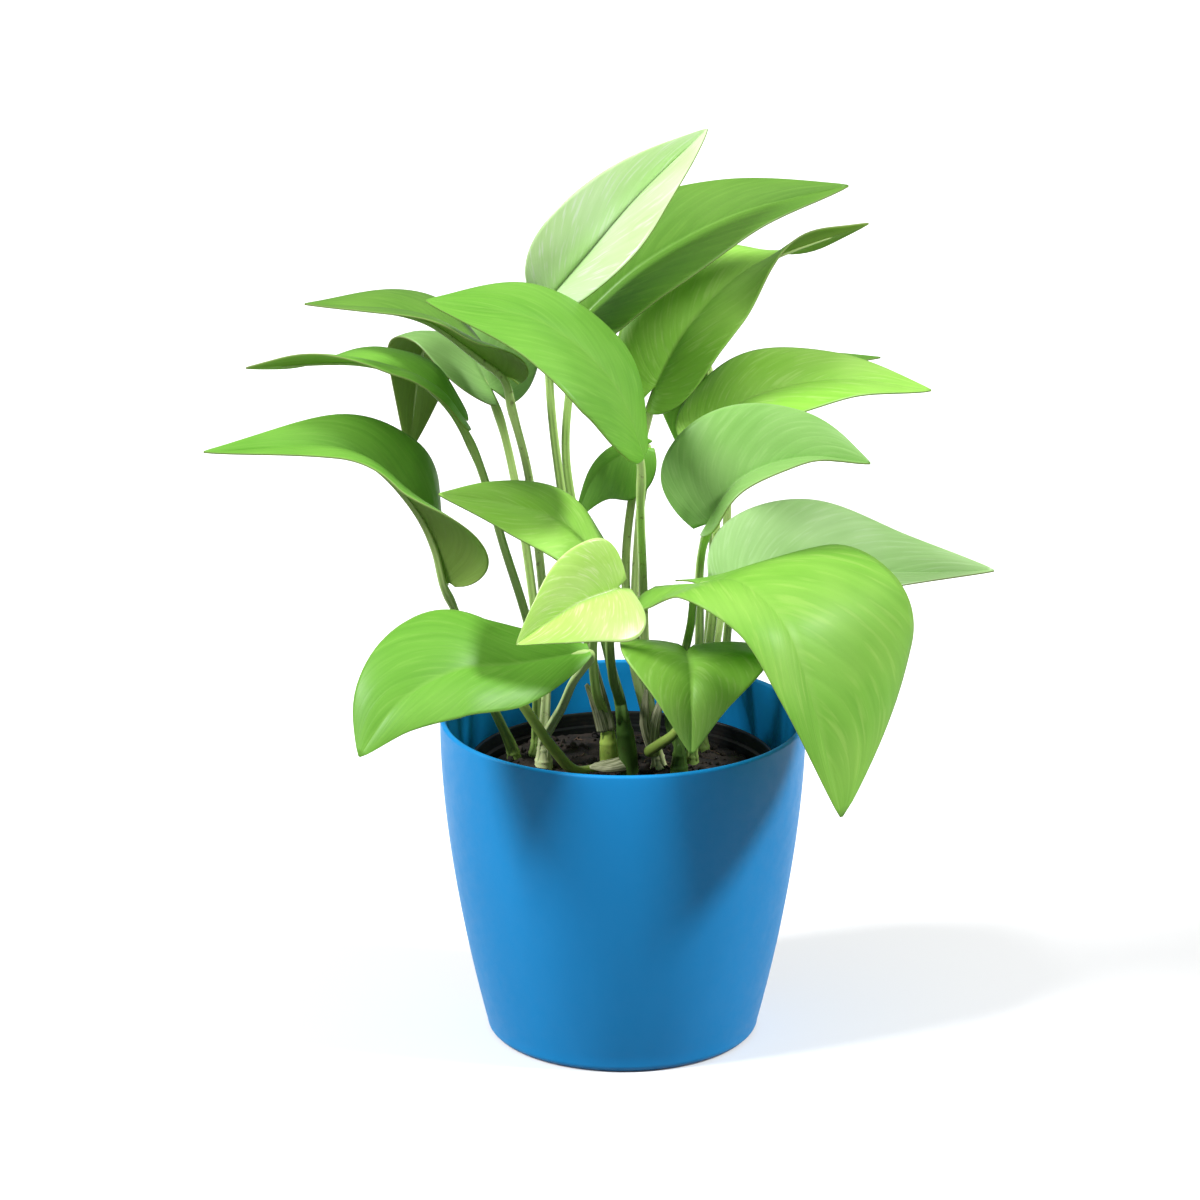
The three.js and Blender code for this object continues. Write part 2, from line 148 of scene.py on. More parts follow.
foot_centre = (pot_radius(POT_FOOT_ROUND) - POT_FOOT_ROUND, POT_FOOT_ROUND)
lip_centre = (POT_RIM_RADIUS - POT_LIP, POT_HEIGHT - POT_LIP)
floor_corner = (pot_radius(POT_FLOOR + 2) - POT_WALL - POT_CORNER_ROUND, POT_FLOOR + POT_CORNER_ROUND)
inner_wall = [(r - POT_WALL, h) for r, h in reversed(outer_wall()) if h > floor_corner[1] + 0.5]
pot_profile = [(0.0, 0.0), (foot_centre[0] - 6, 0.0)]
pot_profile += arc(foot_centre, POT_FOOT_ROUND, -90, -8, 8)
pot_profile += outer_wall()
pot_profile += arc(lip_centre, POT_LIP, 12, 168, 8)
pot_profile += inner_wall
pot_profile += arc(floor_corner, POT_CORNER_ROUND, -6, -90, 6)
pot_profile += [(20.0, POT_FLOOR), (0.0, POT_FLOOR)]

# Polypropylene moulded in a polished steel tool: an even blue with a satin skin. A faint orange-peel ripple
# about 3 mm wide softens its reflections, and slight flow marks and rubbed spots keep it from looking painted.
moulded_polypropylene, tree = new_material("moulded_blue_polypropylene")
place = add_node(tree, "TexCoord").outputs["Object"]
drawn_up = add_node(tree, "Mapping", {"Vector": place, "Scale": (1.0, 1.0, 0.25)}).outputs[0]
flow = add_node(tree, "TexNoise", {"Vector": drawn_up, "Scale": cells(22.2), "Detail": 4.0})
rubbed = add_node(tree, "TexNoise", {
    "Vector": place, "Scale": cells(3.85), "Detail": 6.0, "Roughness": 0.7})
ripple = add_node(tree, "TexNoise", {"Vector": place, "Scale": cells(3.03), "Detail": 2.0})
blue = add_node(tree, "Mix", {
    "Factor": flow.outputs["Fac"], "A": linear("#0A80C2"), "B": linear("#0E90D6")}, data_type="RGBA")
dull = add_node(tree, "MapRange", {
    "Value": rubbed.outputs["Fac"], "From Min": 0.3, "From Max": 0.75, "To Min": 0.42, "To Max": 0.56})
bump = add_node(tree, "Bump", {
    "Strength": 0.12, "Distance": 0.15 * MM, "Height": ripple.outputs["Fac"]})
skin = add_node(tree, "BsdfPrincipled", {
    "Base Color": blue.outputs["Result"], "Roughness": dull.outputs[0], "IOR": 1.49, "Specular IOR Level": 0.3,
    "Normal": bump.outputs[0]})
add_node(tree, "OutputMaterial", {"Surface": skin.outputs[0]})

piece("blue_cover_pot", turned(pot_profile, POT_SIDES), [moulded_polypropylene], ["cover_pot"])

# The nursery pot is a thin black polypropylene grower's pot that stands loose in the cover pot. It tapers to
# its foot, has a stepped band under the rim, and drain holes in its floor, which is hidden.
NURSERY_WALL = 1.1
NURSERY_BAND = 5.0
NURSERY_LEDGE = 1.4
NURSERY_FOOT_RADIUS = 33.0
NURSERY_FOOT_ROUND = 1.5
NURSERY_STEP = 0.4
NURSERY_SIDES = 144
nursery_low, nursery_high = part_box("nursery_pot")
NURSERY_RIM_RADIUS = nursery_high.x / MM
NURSERY_TOP = nursery_high.z / MM
NURSERY_FOOT = nursery_low.z / MM
DRAIN_HOLES = 5
DRAIN_RADIUS = 3.2
DRAIN_RING = 21.0
TOOL_LINES = 1.21
band_foot = NURSERY_TOP - NURSERY_BAND


def nursery_radius(height):
    """The nursery pot's outer radius below its band, in millimetres."""
    share = (height - NURSERY_FOOT) / (band_foot - NURSERY_FOOT)
    return NURSERY_FOOT_RADIUS + (NURSERY_RIM_RADIUS - NURSERY_LEDGE - NURSERY_FOOT_RADIUS) * share


nursery_corner = (NURSERY_FOOT_RADIUS - NURSERY_FOOT_ROUND, NURSERY_FOOT + NURSERY_FOOT_ROUND)
nursery_profile = [(0.0, NURSERY_FOOT), (nursery_corner[0], NURSERY_FOOT)]
nursery_profile += arc(nursery_corner, NURSERY_FOOT_ROUND, -70, 0, 4)
nursery_profile += [(nursery_radius(band_foot), band_foot), (NURSERY_RIM_RADIUS - NURSERY_STEP, band_foot)]
nursery_profile += arc((NURSERY_RIM_RADIUS - NURSERY_WALL / 2, NURSERY_TOP - NURSERY_WALL / 2),
                       NURSERY_WALL / 2, 0, 180, 8)
nursery_profile += [(NURSERY_RIM_RADIUS - NURSERY_STEP - NURSERY_WALL, band_foot + NURSERY_WALL)]
nursery_profile += [(nursery_radius(band_foot) - NURSERY_WALL, band_foot + NURSERY_WALL - NURSERY_STEP)]
nursery_profile += [(NURSERY_FOOT_RADIUS - NURSERY_WALL, NURSERY_FOOT + 2)]
nursery_profile += [(NURSERY_FOOT_RADIUS - 2.5, NURSERY_FOOT + NURSERY_WALL)]
nursery_profile += [(0.0, NURSERY_FOOT + NURSERY_WALL)]


def drain_drills():
    """Five rods standing through the floor."""
    bm = bmesh.new()
    for hole in range(DRAIN_HOLES):
        angle = math.tau * hole / DRAIN_HOLES
        at = Vector((DRAIN_RING * math.cos(angle), DRAIN_RING * math.sin(angle), NURSERY_FOOT)) * MM
        bmesh.ops.create_cone(bm, cap_ends=True, segments=24, radius1=DRAIN_RADIUS * MM,
                              radius2=DRAIN_RADIUS * MM, depth=6 * MM, matrix=Matrix.Translation(at))
    return bm


def bored(bm, drills):
    """The first skin with the second one taken out of it."""
    parts = []
    for skin_part in (bm, drills):
        mesh = bpy.data.meshes.new("boring")
        skin_part.to_mesh(mesh)
        skin_part.free()
        parts.append(bpy.data.objects.new("boring", mesh))
        bpy.context.scene.collection.objects.link(parts[-1])
    cut = parts[0].modifiers.new("holes", "BOOLEAN")
    cut.operation = "DIFFERENCE"
    cut.solver = "EXACT"
    cut.object = parts[1]
    result = bmesh.new()
    result.from_object(parts[0], bpy.context.evaluated_depsgraph_get())
    for part in parts:
        bpy.data.meshes.remove(part.data)
    return result


# Recycled black polypropylene with a soft sheen. Fine turned lines from the tool catch the light round the
# rim, and dried soil has left a brown bloom in patches. A wave texture has 20 / tau bands to one unit of scale.
black_polypropylene, tree = new_material("black_nursery_polypropylene")
place = add_node(tree, "TexCoord").outputs["Object"]
soiled = add_node(tree, "TexNoise", {
    "Vector": place, "Scale": cells(7.14), "Detail": 7.0, "Roughness": 0.75})
patch = add_node(tree, "MapRange", {
    "Value": soiled.outputs["Fac"], "From Min": 0.52, "From Max": 0.72, "To Max": 0.55})
lines = add_node(tree, "TexWave", {
    "Vector": place, "Scale": cells(TOOL_LINES) * math.tau / 20, "Distortion": 0.6},
    wave_type="BANDS", bands_direction="Z")
black = add_node(tree, "Mix", {
    "Factor": patch.outputs[0], "A": linear("#0E1213"), "B": linear("#3A2E24")}, data_type="RGBA")
bump = add_node(tree, "Bump", {
    "Strength": 0.25, "Distance": 0.1 * MM, "Height": lines.outputs["Fac"]})
skin = add_node(tree, "BsdfPrincipled", {
    "Base Color": black.outputs["Result"], "Roughness": 0.42, "IOR": 1.49, "Normal": bump.outputs[0]})
add_node(tree, "OutputMaterial", {"Surface": skin.outputs[0]})

nursery = bored(turned(nursery_profile, NURSERY_SIDES), drain_drills())
piece("black_nursery_pot", nursery, [black_polypropylene], ["nursery_pot"])

# The soil is dark moist peat. Its top is uneven, with crumbs of peat and bark and brown root fibres lying on
# it; below, it fills the nursery pot.
SOIL_TOP = 80.0
SOIL_FOOT = NURSERY_FOOT + NURSERY_WALL + 0.3
SOIL_RINGS = 60
SOIL_SPOKES = 150
SOIL_EDGE = nursery_radius(SOIL_TOP - 2) - NURSERY_WALL - 0.6
SOIL_EDGE_ROUND = 1.2
SWELLS_PER_MM = 0.06
SWELL_HEIGHT = 0.9
GRAINS_PER_MM = 0.45
GRAIN_HEIGHT = 0.8
CRUMBS = 420
FIBRES = 90
SOIL_SEED = 7
rng = random.Random(SOIL_SEED)
noise.seed_set(SOIL_SEED)


def soil_height(x, y):
    """The height of the soil's uneven top in millimetres."""
    broad = noise.fractal(Vector((x * SWELLS_PER_MM, y * SWELLS_PER_MM, 1.7)), 1.0, 2.0, 3)
    grain = noise.fractal(Vector((x * GRAINS_PER_MM, y * GRAINS_PER_MM, 5.1)), 0.9, 2.1, 4)
    return SOIL_TOP + SWELL_HEIGHT * broad + GRAIN_HEIGHT * grain


def soil_body():
    """A grid of rings and spokes: over the top to the edge, then down the side and in along the bottom."""
    bm = bmesh.new()
    side_rings = 8
    rows = SOIL_RINGS + side_rings
    bmesh.ops.create_grid(bm, x_segments=rows, y_segments=SOIL_SPOKES, size=0.5)
    for vert in bm.verts:
        row = round((vert.co.x + 0.5) * rows)
        angle = (vert.co.y + 0.5) * math.tau
        if row <= SOIL_RINGS:
            radius = SOIL_EDGE * row / SOIL_RINGS
            height = soil_height(radius * math.cos(angle), radius * math.sin(angle))
            height -= SOIL_EDGE_ROUND * max(0.0, (radius / SOIL_EDGE - 0.94) / 0.06)
        else:
            share = (row - SOIL_RINGS) / side_rings
            height = SOIL_TOP - 2 + (SOIL_FOOT - SOIL_TOP + 2) * min(share * 1.2, 1.0)
            radius = nursery_radius(height) - NURSERY_WALL - 0.7
            if row == rows - 1:
                radius *= 0.5
            if row == rows:
                radius = 0.0
        vert.co = Vector((radius * math.cos(angle), radius * math.sin(angle), height)) * MM
    bmesh.ops.remove_doubles(bm, verts=bm.verts, dist=1e-6)
    bmesh.ops.recalc_face_normals(bm, faces=bm.faces)
    return bm


def soil_spot(reach):
    """A random place on the soil, in millimetres."""
    radius = reach * math.sqrt(rng.random())
    angle = rng.random() * math.tau
    x, y = radius * math.cos(angle), radius * math.sin(angle)
    return Vector((x, y, soil_height(x, y)))


def soil_crumbs():
    """Lumps of peat and bark: small balls pressed out of round and set half into the soil."""
    bm = bmesh.new()
    for _ in range(CRUMBS):
        size = 0.5 + 1.5 * rng.random() ** 2
        turn = Quaternion((rng.random(), rng.random(), rng.random(), rng.random())).normalized()
        squash = Matrix.Diagonal((1.0, 0.5 + 0.4 * rng.random(), 0.45 + 0.3 * rng.random(), 1.0))
        at = soil_spot(SOIL_EDGE - 1.5) + Vector((0, 0, size * 0.15))
        laid = Matrix.Translation(at * MM) @ turn.to_matrix().to_4x4() @ squash
        ball = bmesh.ops.create_icosphere(bm, subdivisions=1, radius=size * MM, matrix=laid)
        for vert in ball["verts"]:
            shift = noise.noise_vector(vert.co / (0.9 * MM)) * size * 0.28
            vert.co += shift * MM
    return bm


# Moist sphagnum peat: nearly black brown, broken up by lighter decayed fibres. It is rough all over, so it
# shows no gloss, only grain about 1 mm across.
moist_peat, tree = new_material("moist_peat")
place = add_node(tree, "TexCoord").outputs["Object"]
clods = add_node(tree, "TexNoise", {
    "Vector": place, "Scale": cells(5.56), "Detail": 8.0, "Roughness": 0.7})
grains = add_node(tree, "TexNoise", {
    "Vector": place, "Scale": cells(1.11), "Detail": 5.0, "Roughness": 0.7})
tone = add_node(tree, "ValToRGB", {"Fac": clods.outputs["Fac"]})
tone.color_ramp.elements[0].position = 0.38
tone.color_ramp.elements[0].color = linear("#0D0B0A")
tone.color_ramp.elements[1].position = 0.74
tone.color_ramp.elements[1].color = linear("#3B2F26")
bump = add_node(tree, "Bump", {
    "Strength": 0.9, "Distance": 0.5 * MM, "Height": grains.outputs["Fac"]})
skin = add_node(tree, "BsdfPrincipled", {
    "Base Color": tone.outputs["Color"], "Roughness": 0.93, "Normal": bump.outputs[0]})
add_node(tree, "OutputMaterial", {"Surface": skin.outputs[0]})

piece("peat_soil", soil_body(), [moist_peat], ["potting_soil"], sharp=80.0)
piece("peat_crumbs", soil_crumbs(), [moist_peat], ["potting_soil"], sharp=60.0)


# Brown root fibres from the peat lie loose on it as thin bent threads. They are tubes along a smooth curve, as
# the stalks are further on.
class Curve:
    """A smooth curve through a few points, which can be asked for a place by its share of the length."""

    STEPS = 120

    def __init__(self, points):
        self.points = [Vector(p) for p in points]
        samples = [self.raw(step / self.STEPS) for step in range(self.STEPS + 1)]
        self.run = [0.0]
        for a, b in zip(samples, samples[1:]):
            self.run.append(self.run[-1] + (b - a).length)
        self.length = self.run[-1]

    def raw(self, t):
        """A centripetal Catmull-Rom curve, as in the solids."""
        points = self.points
        spans = len(points) - 1
        i = min(int(t * spans), spans - 1)
        w = t * spans - i
        p1, p2 = points[i], points[i + 1]
        p0 = points[i - 1] if i > 0 else 2 * p1 - p2
        p3 = points[i + 2] if i + 2 <= spans else 2 * p2 - p1
        d0, d1, d2 = (max((b - a).length_squared ** 0.25, 1e-4) for a, b in ((p0, p1), (p1, p2), (p2, p3)))
        m1 = ((p1 - p0) / d0 - (p2 - p0) / (d0 + d1) + (p2 - p1) / d1) * d1
        m2 = ((p2 - p1) / d1 - (p3 - p1) / (d1 + d2) + (p3 - p2) / d2) * d1
        return p1 + m1 * w + (-3 * p1 + 3 * p2 - 2 * m1 - m2) * w * w + (2 * p1 - 2 * p2 + m1 + m2) * w ** 3

    def time(self, share):
        """The curve's parameter at a share of its length."""
        goal = share * self.length
        low, high = 0, self.STEPS
        while high - low > 1:
            middle = (low + high) // 2
            low, high = (middle, high) if self.run[middle] <= goal else (low, middle)
        return (low + (goal - self.run[low]) / max(self.run[high] - self.run[low], 1e-9)) / self.STEPS

    def at(self, share):
        return self.raw(self.time(share))

    def tangent(self, share):
        t = self.time(share)
        return (self.raw(min(t + 1e-3, 1.0)) - self.raw(max(t - 1e-3, 0.0))).normalized()


def flat_grid(bm, rows, columns, uv_run=1.0):
    """A flat grid to bend into shape, one unit wide. Its x and the map's v run along it, its y and u across."""
    grid = bmesh.ops.create_grid(bm, x_segments=rows, y_segments=columns, size=0.5)["verts"]
    uv = bm.loops.layers.uv.verify()
    for loop in {loop for vert in grid for loop in vert.link_loops}:
        loop[uv].uv = (loop.vert.co.y + 0.5, (loop.vert.co.x + 0.5) * uv_run)
    return grid


UV_RUN = 100.0


def tube(bm, path, radius_at, sides, steps, profile=None, face=None):
    """A bar along a path in millimetres. radius_at gives its radius there, and profile scales that round the
    section, starting from the side that faces `face`; both ends close. Its UV map runs once round, and
    UV_RUN millimetres of length to one."""
    grid = flat_grid(bm, steps, sides, path.length / UV_RUN)
    before = path.tangent(0.0)
    across = Vector(face) if face else before.orthogonal()
    across = (across - before * across.dot(before)).normalized()
    rings = []
    for step in range(steps + 1):
        share = step / steps
        tangent = path.tangent(share)
        across = before.rotation_difference(tangent) @ across
        before = tangent
        radius = 0.0 if step in (0, steps) else radius_at(share)
        rings.append((path.at(share), across.copy(), tangent.cross(across), radius, share))
    for vert in grid:
        centre, side, up, radius, share = rings[round((vert.co.x + 0.5) * steps)]
        angle = (vert.co.y + 0.5) * math.tau
        if profile:
            radius *= profile(angle, share)
        vert.co = (centre + radius * (math.cos(angle) * side + math.sin(angle) * up)) * MM
    bmesh.ops.remove_doubles(bm, verts=grid, dist=1e-7)


def soil_fibres():
    """Loose root fibres: thin bent threads that lie on the soil."""
    bm = bmesh.new()
    for _ in range(FIBRES):
        at = soil_spot(SOIL_EDGE - 6)
        heading = rng.random() * math.tau
        points = []
        for _ in range(4):
            points.append(Vector((at.x, at.y, soil_height(at.x, at.y) + 0.35)))
            heading += rng.uniform(-0.8, 0.8)
            stride = rng.uniform(1.0, 2.6)
            at = at + stride * Vector((math.cos(heading), math.sin(heading), 0.0))
        thickness = rng.uniform(0.08, 0.2)
        tube(bm, Curve(points), lambda share, r=thickness: r, 5, 9)
    bmesh.ops.recalc_face_normals(bm, faces=bm.faces)
    return bm


# Dried root fibre: pale brown and matt, darker in stretches where it is still moist.
dry_fibre, tree = new_material("dry_root_fibre")
place = add_node(tree, "TexCoord").outputs["Object"]
shade = add_node(tree, "TexNoise", {"Vector": place, "Scale": cells(16.7), "Detail": 3.0})
tone = add_node(tree, "Mix", {
    "Factor": shade.outputs["Fac"], "A": linear("#241A13"), "B": linear("#7A5F48")}, data_type="RGBA")
skin = add_node(tree, "BsdfPrincipled", {"Base Color": tone.outputs["Result"], "Roughness": 0.85})
add_node(tree, "OutputMaterial", {"Surface": skin.outputs[0]})

piece("root_fibres", soil_fibres(), [dry_fibre], ["potting_soil"], sharp=180.0)

# Nine leafy stems grow in the pot, each with one to three leaves. The values give a stem's foot and top, and a
# leaf's stalk beyond the stem, its midrib, and how far its left and right halves reach from that at its widest,
# seen from the stalk with the upper face up. Lengths are in millimetres, and turns in degrees.
LEAFY_STEMS = {
    "far_left": dict(foot=(-33, 15), top=(-34, 14, 85), leaves={
        "long_left": dict(
            stalk=[(-38, 6, 97), (-46, -6, 119), (-50, -14, 137)],
            midrib=[(-52, -18, 147), (-56, -19, 162), (-66, -20, 177), (-80, -22, 188), (-122, -30, 190)],
            left=(4, -23, 1), right=(6, 14, 9), lobe=0.02, base_roll=42, tone="fresh"),
    }),
    "left_back": dict(foot=(-26, 18), top=(-26, 17, 88), leaves={
        "slender_left": dict(
            stalk=[(-27, 8, 118), (-36, 0, 154), (-43, -4, 180)],
            midrib=[(-48, -5, 194), (-56, -8, 204), (-74, -12, 212), (-110, -18, 212)],
            left=(2, -17, 2), right=(2, 15, 0), lobe=0.05, taper=0.1, twist=36, base_roll=-10, tone="fresh"),
        "olive_back": dict(
            stalk=[(-26, 24, 115), (-32, 30, 160), (-37, 33, 182)],
            midrib=[(-40, 34, 192), (-50, 47, 204), (-60, 58, 200), (-66, 60, 164)],
            left=(-15, -9, 2), right=(30, 8, -3), belly=1.2, tone="dull"),
    }),
    "left_front": dict(foot=(-24, 9), top=(-24, 8, 89), bark="cream", leaves={
        "front_left": dict(
            stalk=[(-18, -8, 105), (-15, -23, 117)],
            midrib=[(-10, -38, 132), (-30, -47, 131), (-49, -57, 132), (-65, -66, 125), (-76, -72, 111)],
            left=(-4, -15, -13), right=(-2, 18, 15), belly=1.5, right_belly=1.9, at=0.55, lobe=0.0, taper=0.1,
            wave=0.0, tone="fresh"),
        "shaded_left": dict(
            stalk=[(-23, 11, 115), (-28, 10, 170), (-33, 11, 191)],
            midrib=[(-35, 12, 202), (-45, 12, 210), (-60, 10, 220), (-94, 6, 225)],
            left=(3, -22, 5), right=(-4, 18, 7), lobe=0.08, base_roll=20, taper=0.1, tone="deep"),
    }),
    "centre": dict(
        foot=(-4, 9), top=(-5, 8, 97), bark="young",
        stubs=[[(-5, 8, 80), (-14, 1, 81), (-21, -4, 90), (-29, -9, 104), (-36, -12, 116)]],
        sheaths=[dict(path=[(-5, 7, 92), (-8, 4, 108), (-10, 2, 121)], face=(-1, -1, 0)),
                 dict(path=[(-5, 6, 92), (-7, 4, 100), (-11, 3, 108)], face=(0, -1, 1))],
        leaves={
        "top": dict(
            stalk=[(-10, 12, 116), (-19, 18, 168), (-22, 21, 197)],
            midrib=[(-22, 20, 223), (-11, 20, 236), (4, 24, 253), (25, 32, 272)],
            left=(-12, -5, 11), right=(9, -21, 0), lobe=0.03, taper=0.05, right_belly=1.2, tone="painted_sheen"),
        "centre": dict(
            stalk=[(-8, 1, 106), (-9, -3, 122), (-7, -6, 138)],
            midrib=[(-7, -8, 152), (-19, -12, 164), (-36, -18, 171), (-54, -26, 176)],
            left=(-3, -20, -5), right=(4, 16, 2), taper=0.15, tone="light"),
    }),
    "front": dict(
        foot=(2, 1), top=(-1, -4, 106), bark="dark",
        sheaths=[dict(path=[(1, -1, 85), (-4, -3, 84.5), (-10, -4, 84)], face=(0, -1, 1))],
        leaves={
        "bright_front": dict(
            stalk=[(-3, -10, 114), (-4, -26, 136)],
            midrib=[(-2, -41, 152), (-13, -48, 150), (-22, -54, 146), (-31, -60, 141)],
            left=(8, -12, -10), right=(12, 11, 19), lobe=0.1, taper=0.1, belly=0.75, tone="young"),
        "upper_right": dict(
            stalk=[(-4, 14, 112), (-17, 26, 170), (-16, 31, 193)],
            midrib=[(-14, 30, 213), (6, 34, 230), (33, 42, 243), (68, 52, 250)],
            left=(-8, 12, 14), right=(6, -24, -3), taper=0.1, tone="deep"),
    }),
    "middle": dict(
        foot=(11, 6), top=(10, 5, 87), bark="cream",
        stubs=[[(10, 5, 86), (8, -1, 88), (11, -6, 92), (15, -9, 96), (17, -10, 99)]],
        sheaths=[dict(path=[(8, 4, 86), (9, 1, 96), (12, 0, 106)], face=(-1, -1, 0)),
                 dict(path=[(8, 5, 86), (6, 3, 95), (7, 1, 107)], face=(-1, -1, 0))],
        leaves={
        "broad_left": dict(
            stalk=[(7, 8, 112), (6, 4, 140), (5, -15, 169)],
            midrib=[(6, -20, 186), (-3, -21, 208), (-24, -23, 227), (-57, -29, 235)],
            left=(-8, -27, -2), right=(6, 25, 1), lobe=0.0, belly=1.1, taper=0.15, tone="fresh"),
        "twisted": dict(
            stalk=[(3, 16, 112), (1, 28, 141), (6, 38, 174)],
            midrib=[(10, 40, 191), (20, 46, 208), (37, 54, 223), (75, 66, 235)],
            left=(-20, 5, 2), right=(9, -10, -6), twist=-90, taper=0.1, tone="light"),
        "dark_centre": dict(
            stalk=[(4, 20, 116), (5, 26, 153)],
            midrib=[(6, 28, 175), (-1, 32, 171), (-8, 36, 164), (-15, 40, 148)],
            left=(8, -7, -9), right=(-7, 4, -1), tone="fresh"),
    }),
    "right_front": dict(foot=(17, 1), top=(17, 0, 90), bark="dark", leaves={
        "front_right": dict(
            stalk=[(16, 0, 104), (20, -4, 128)],
            midrib=[(22, -20, 147), (34, -38, 153), (46, -50, 145), (54, -58, 125), (63, -62, 89)],
            left=(61, 8, -14), right=(-10, -14, -6), belly=1.8, right_belly=0.75, at=0.3, lobe=0.2, taper=0.0,
            tone="flecked"),
        "front_low": dict(
            stalk=[(14, 2, 96), (16, 2, 108)],
            midrib=[(19, -8, 122), (20, -22, 121), (20, -31, 113), (20, -35, 99)],
            left=(23, 8, 3), right=(-21, 8, 7), taper=0.35, tone="light"),
    }),
    "right": dict(foot=(21, 11), top=(21, 11, 85), leaves={
        "round_right": dict(
            stalk=[(23, 8, 120), (23, 4, 145)],
            midrib=[(25, -12, 163), (34, -10, 175), (52, -6, 181), (73, -4, 179)],
            left=(-11, 9, 17), right=(4, -19, 5), lobe=0.07, taper=0.0, tone="dull"),
        "upper_side": dict(
            stalk=[(27, 16, 124), (28, 22, 154)],
            midrib=[(24, 26, 181), (40, 28, 191), (65, 32, 195), (93, 34, 191)],
            left=(-3, 17, 8), right=(2, -22, -3), taper=0.05, tone="light"),
    }),
    "right_back": dict(foot=(24, 24), top=(24, 24, 88), leaves={
        "hanging_back": dict(
            stalk=[(27, 34, 126), (28, 42, 167)],
            midrib=[(26, 50, 192), (25, 58, 188), (24, 64, 170), (24, 62, 148)],
            left=(14, 0, -3), right=(-14, 0, -3), tone="fresh"),
        "right_back": dict(
            stalk=[(31, 48, 122), (33, 62, 165)],
            midrib=[(35, 68, 185), (47, 72, 189), (62, 76, 190), (80, 80, 189)],
            left=(0, 16, 0), right=(0, -15, -2), tone="fresh"),
        "right_low": dict(
            stalk=[(30, 18, 104), (32, 14, 125)],
            midrib=[(34, 10, 138), (53, 14, 140), (84, 18, 138), (112, 18, 139)],
            left=(-2, 14, 18), right=(2, -21, 1), taper=0.15, tone="pale"),
    }),
}

# The blades are thin glossy hearts with a drawn-out tip. Each is a grid bent about its midrib, grooved over the
# rib, with low side veins between which the leaf bulges and a margin that waves a little. A Solidify modifier
# gives it its thickness.
BLADE_ROWS = 64
BLADE_COLUMNS = 18
BLADE_THICKNESS = 0.5
BLADE_LOBE = 0.1
BLADE_BELLY = 0.9
BLADE_TAPER = 0.3
BLADE_BULGE = 0.07
BLADE_WAVE = 0.02
WAVES = 2.2
WAVE_SHIFT = 0.4
WIDEST = 0.28
MARGIN_SWEEP = 1.5
MARGIN_FULLNESS = 0.78
MARGIN_LEAST = 0.012
TAPER_FROM = 0.5
TAPER_TO = 0.9
TIP_PINCH = 0.3
SHOULDER = 0.1
WRINKLE = 0.035
ROW_SPACING = 1.8
TWIST_FROM = 0.35
TWIST_TO = 0.85
GROOVE_DEPTH = 0.28
GROOVE_WIDTH = 1.0
VEINS = 11
VEIN_SLANT = 0.36
VEIN_RELIEF = 0.03
VEIN_FADE_WIDTH = 12.0


def margin_along(x, lobe):
    """How far along the midrib the margin of a row lies. A lobe reaches back past the stalk."""
    return -lobe + (1 + lobe) * x ** MARGIN_SWEEP


def smooth_step(value, low, high):
    """From 0 at low to 1 at high, level at both."""
    share = min(max((value - low) / (high - low), 0.0), 1.0)
    return share * share * (3 - 2 * share)


def margin_out(x, belly, taper):
    """How far out the margin of a row lies, as a share of the leaf's half width."""
    full = max(math.sin(math.pi * x ** belly), 0.0) ** MARGIN_FULLNESS
    drawn = 1 - taper * smooth_step(x, TAPER_FROM, TAPER_TO)
    return full * (1 - TIP_PINCH * x ** 10) * drawn + SHOULDER * (1 - x) ** 4 + MARGIN_LEAST


def blade_row(leaf, spine, x):
    """Where a row of the blade lies: its centre, direction, width and both halves' directions."""
    along = x ** ROW_SPACING
    tangent = spine.tangent(along)
    bend = spine.tangent(leaf.get("at", WIDEST)).rotation_difference(tangent)
    turn = math.radians(leaf.get("twist", 0.0)) * smooth_step(along, TWIST_FROM, TWIST_TO)
    turn += math.radians(leaf.get("base_roll", 0.0)) * (1 - smooth_step(along, 0.0, TWIST_FROM))
    halves = []
    for side in ("left", "right"):
        reach = Quaternion(tangent, turn) @ (bend @ Vector(leaf[side]))
        reach -= tangent * reach.dot(tangent)
        up = tangent.cross(reach).normalized() * (1 if side == "left" else -1)
        halves.append((reach, up))
    return spine.at(along), tangent, along, halves


def blade(bm, leaf, leaf_number):
    """A grid bent into the leaf, with a grooved midrib and low side veins."""
    spine = Curve(leaf["midrib"])
    lobe = leaf.get("lobe", BLADE_LOBE)
    belly = leaf.get("belly", BLADE_BELLY)
    taper = leaf.get("taper", BLADE_TAPER)
    rows = [blade_row(leaf, spine, row / BLADE_ROWS) for row in range(BLADE_ROWS + 1)]
    for vert in flat_grid(bm, BLADE_ROWS, 2 * BLADE_COLUMNS):
        x = vert.co.x + 0.5
        out = min(abs(vert.co.y) * 2.0, 1.0)
        centre, tangent, along, halves = rows[round(x * BLADE_ROWS)]
        right = vert.co.y > 0
        reach, up = halves[1 if right else 0]
        share_out = margin_out(x, leaf.get("right_belly", belly) if right else belly, taper)
        width = reach.length * share_out
        wave = math.sin(math.tau * (WAVES * x + (WAVE_SHIFT if right else 0.0)))
        lift = (4 * BLADE_BULGE * out * (1 - out) + leaf.get("wave", BLADE_WAVE) * out * out * wave) * width
        lift -= GROOVE_DEPTH * math.exp(-(out * width / GROOVE_WIDTH) ** 2) * (1 - x)
        vein = math.sin(math.tau * VEINS * (x - VEIN_SLANT * out))
        lift += VEIN_RELIEF * vein * out * (1 - out) * 4 * min(width / VEIN_FADE_WIDTH, 1.0)
        lift += WRINKLE * width * out * noise.noise(Vector((x * 3.1, vert.co.y * 2.3, leaf_number * 7.3)))
        vert.co = (centre + tangent * spine.length * (margin_along(x, lobe) - along) * out
                   + reach * (share_out * out) + up * lift) * MM
    return spine


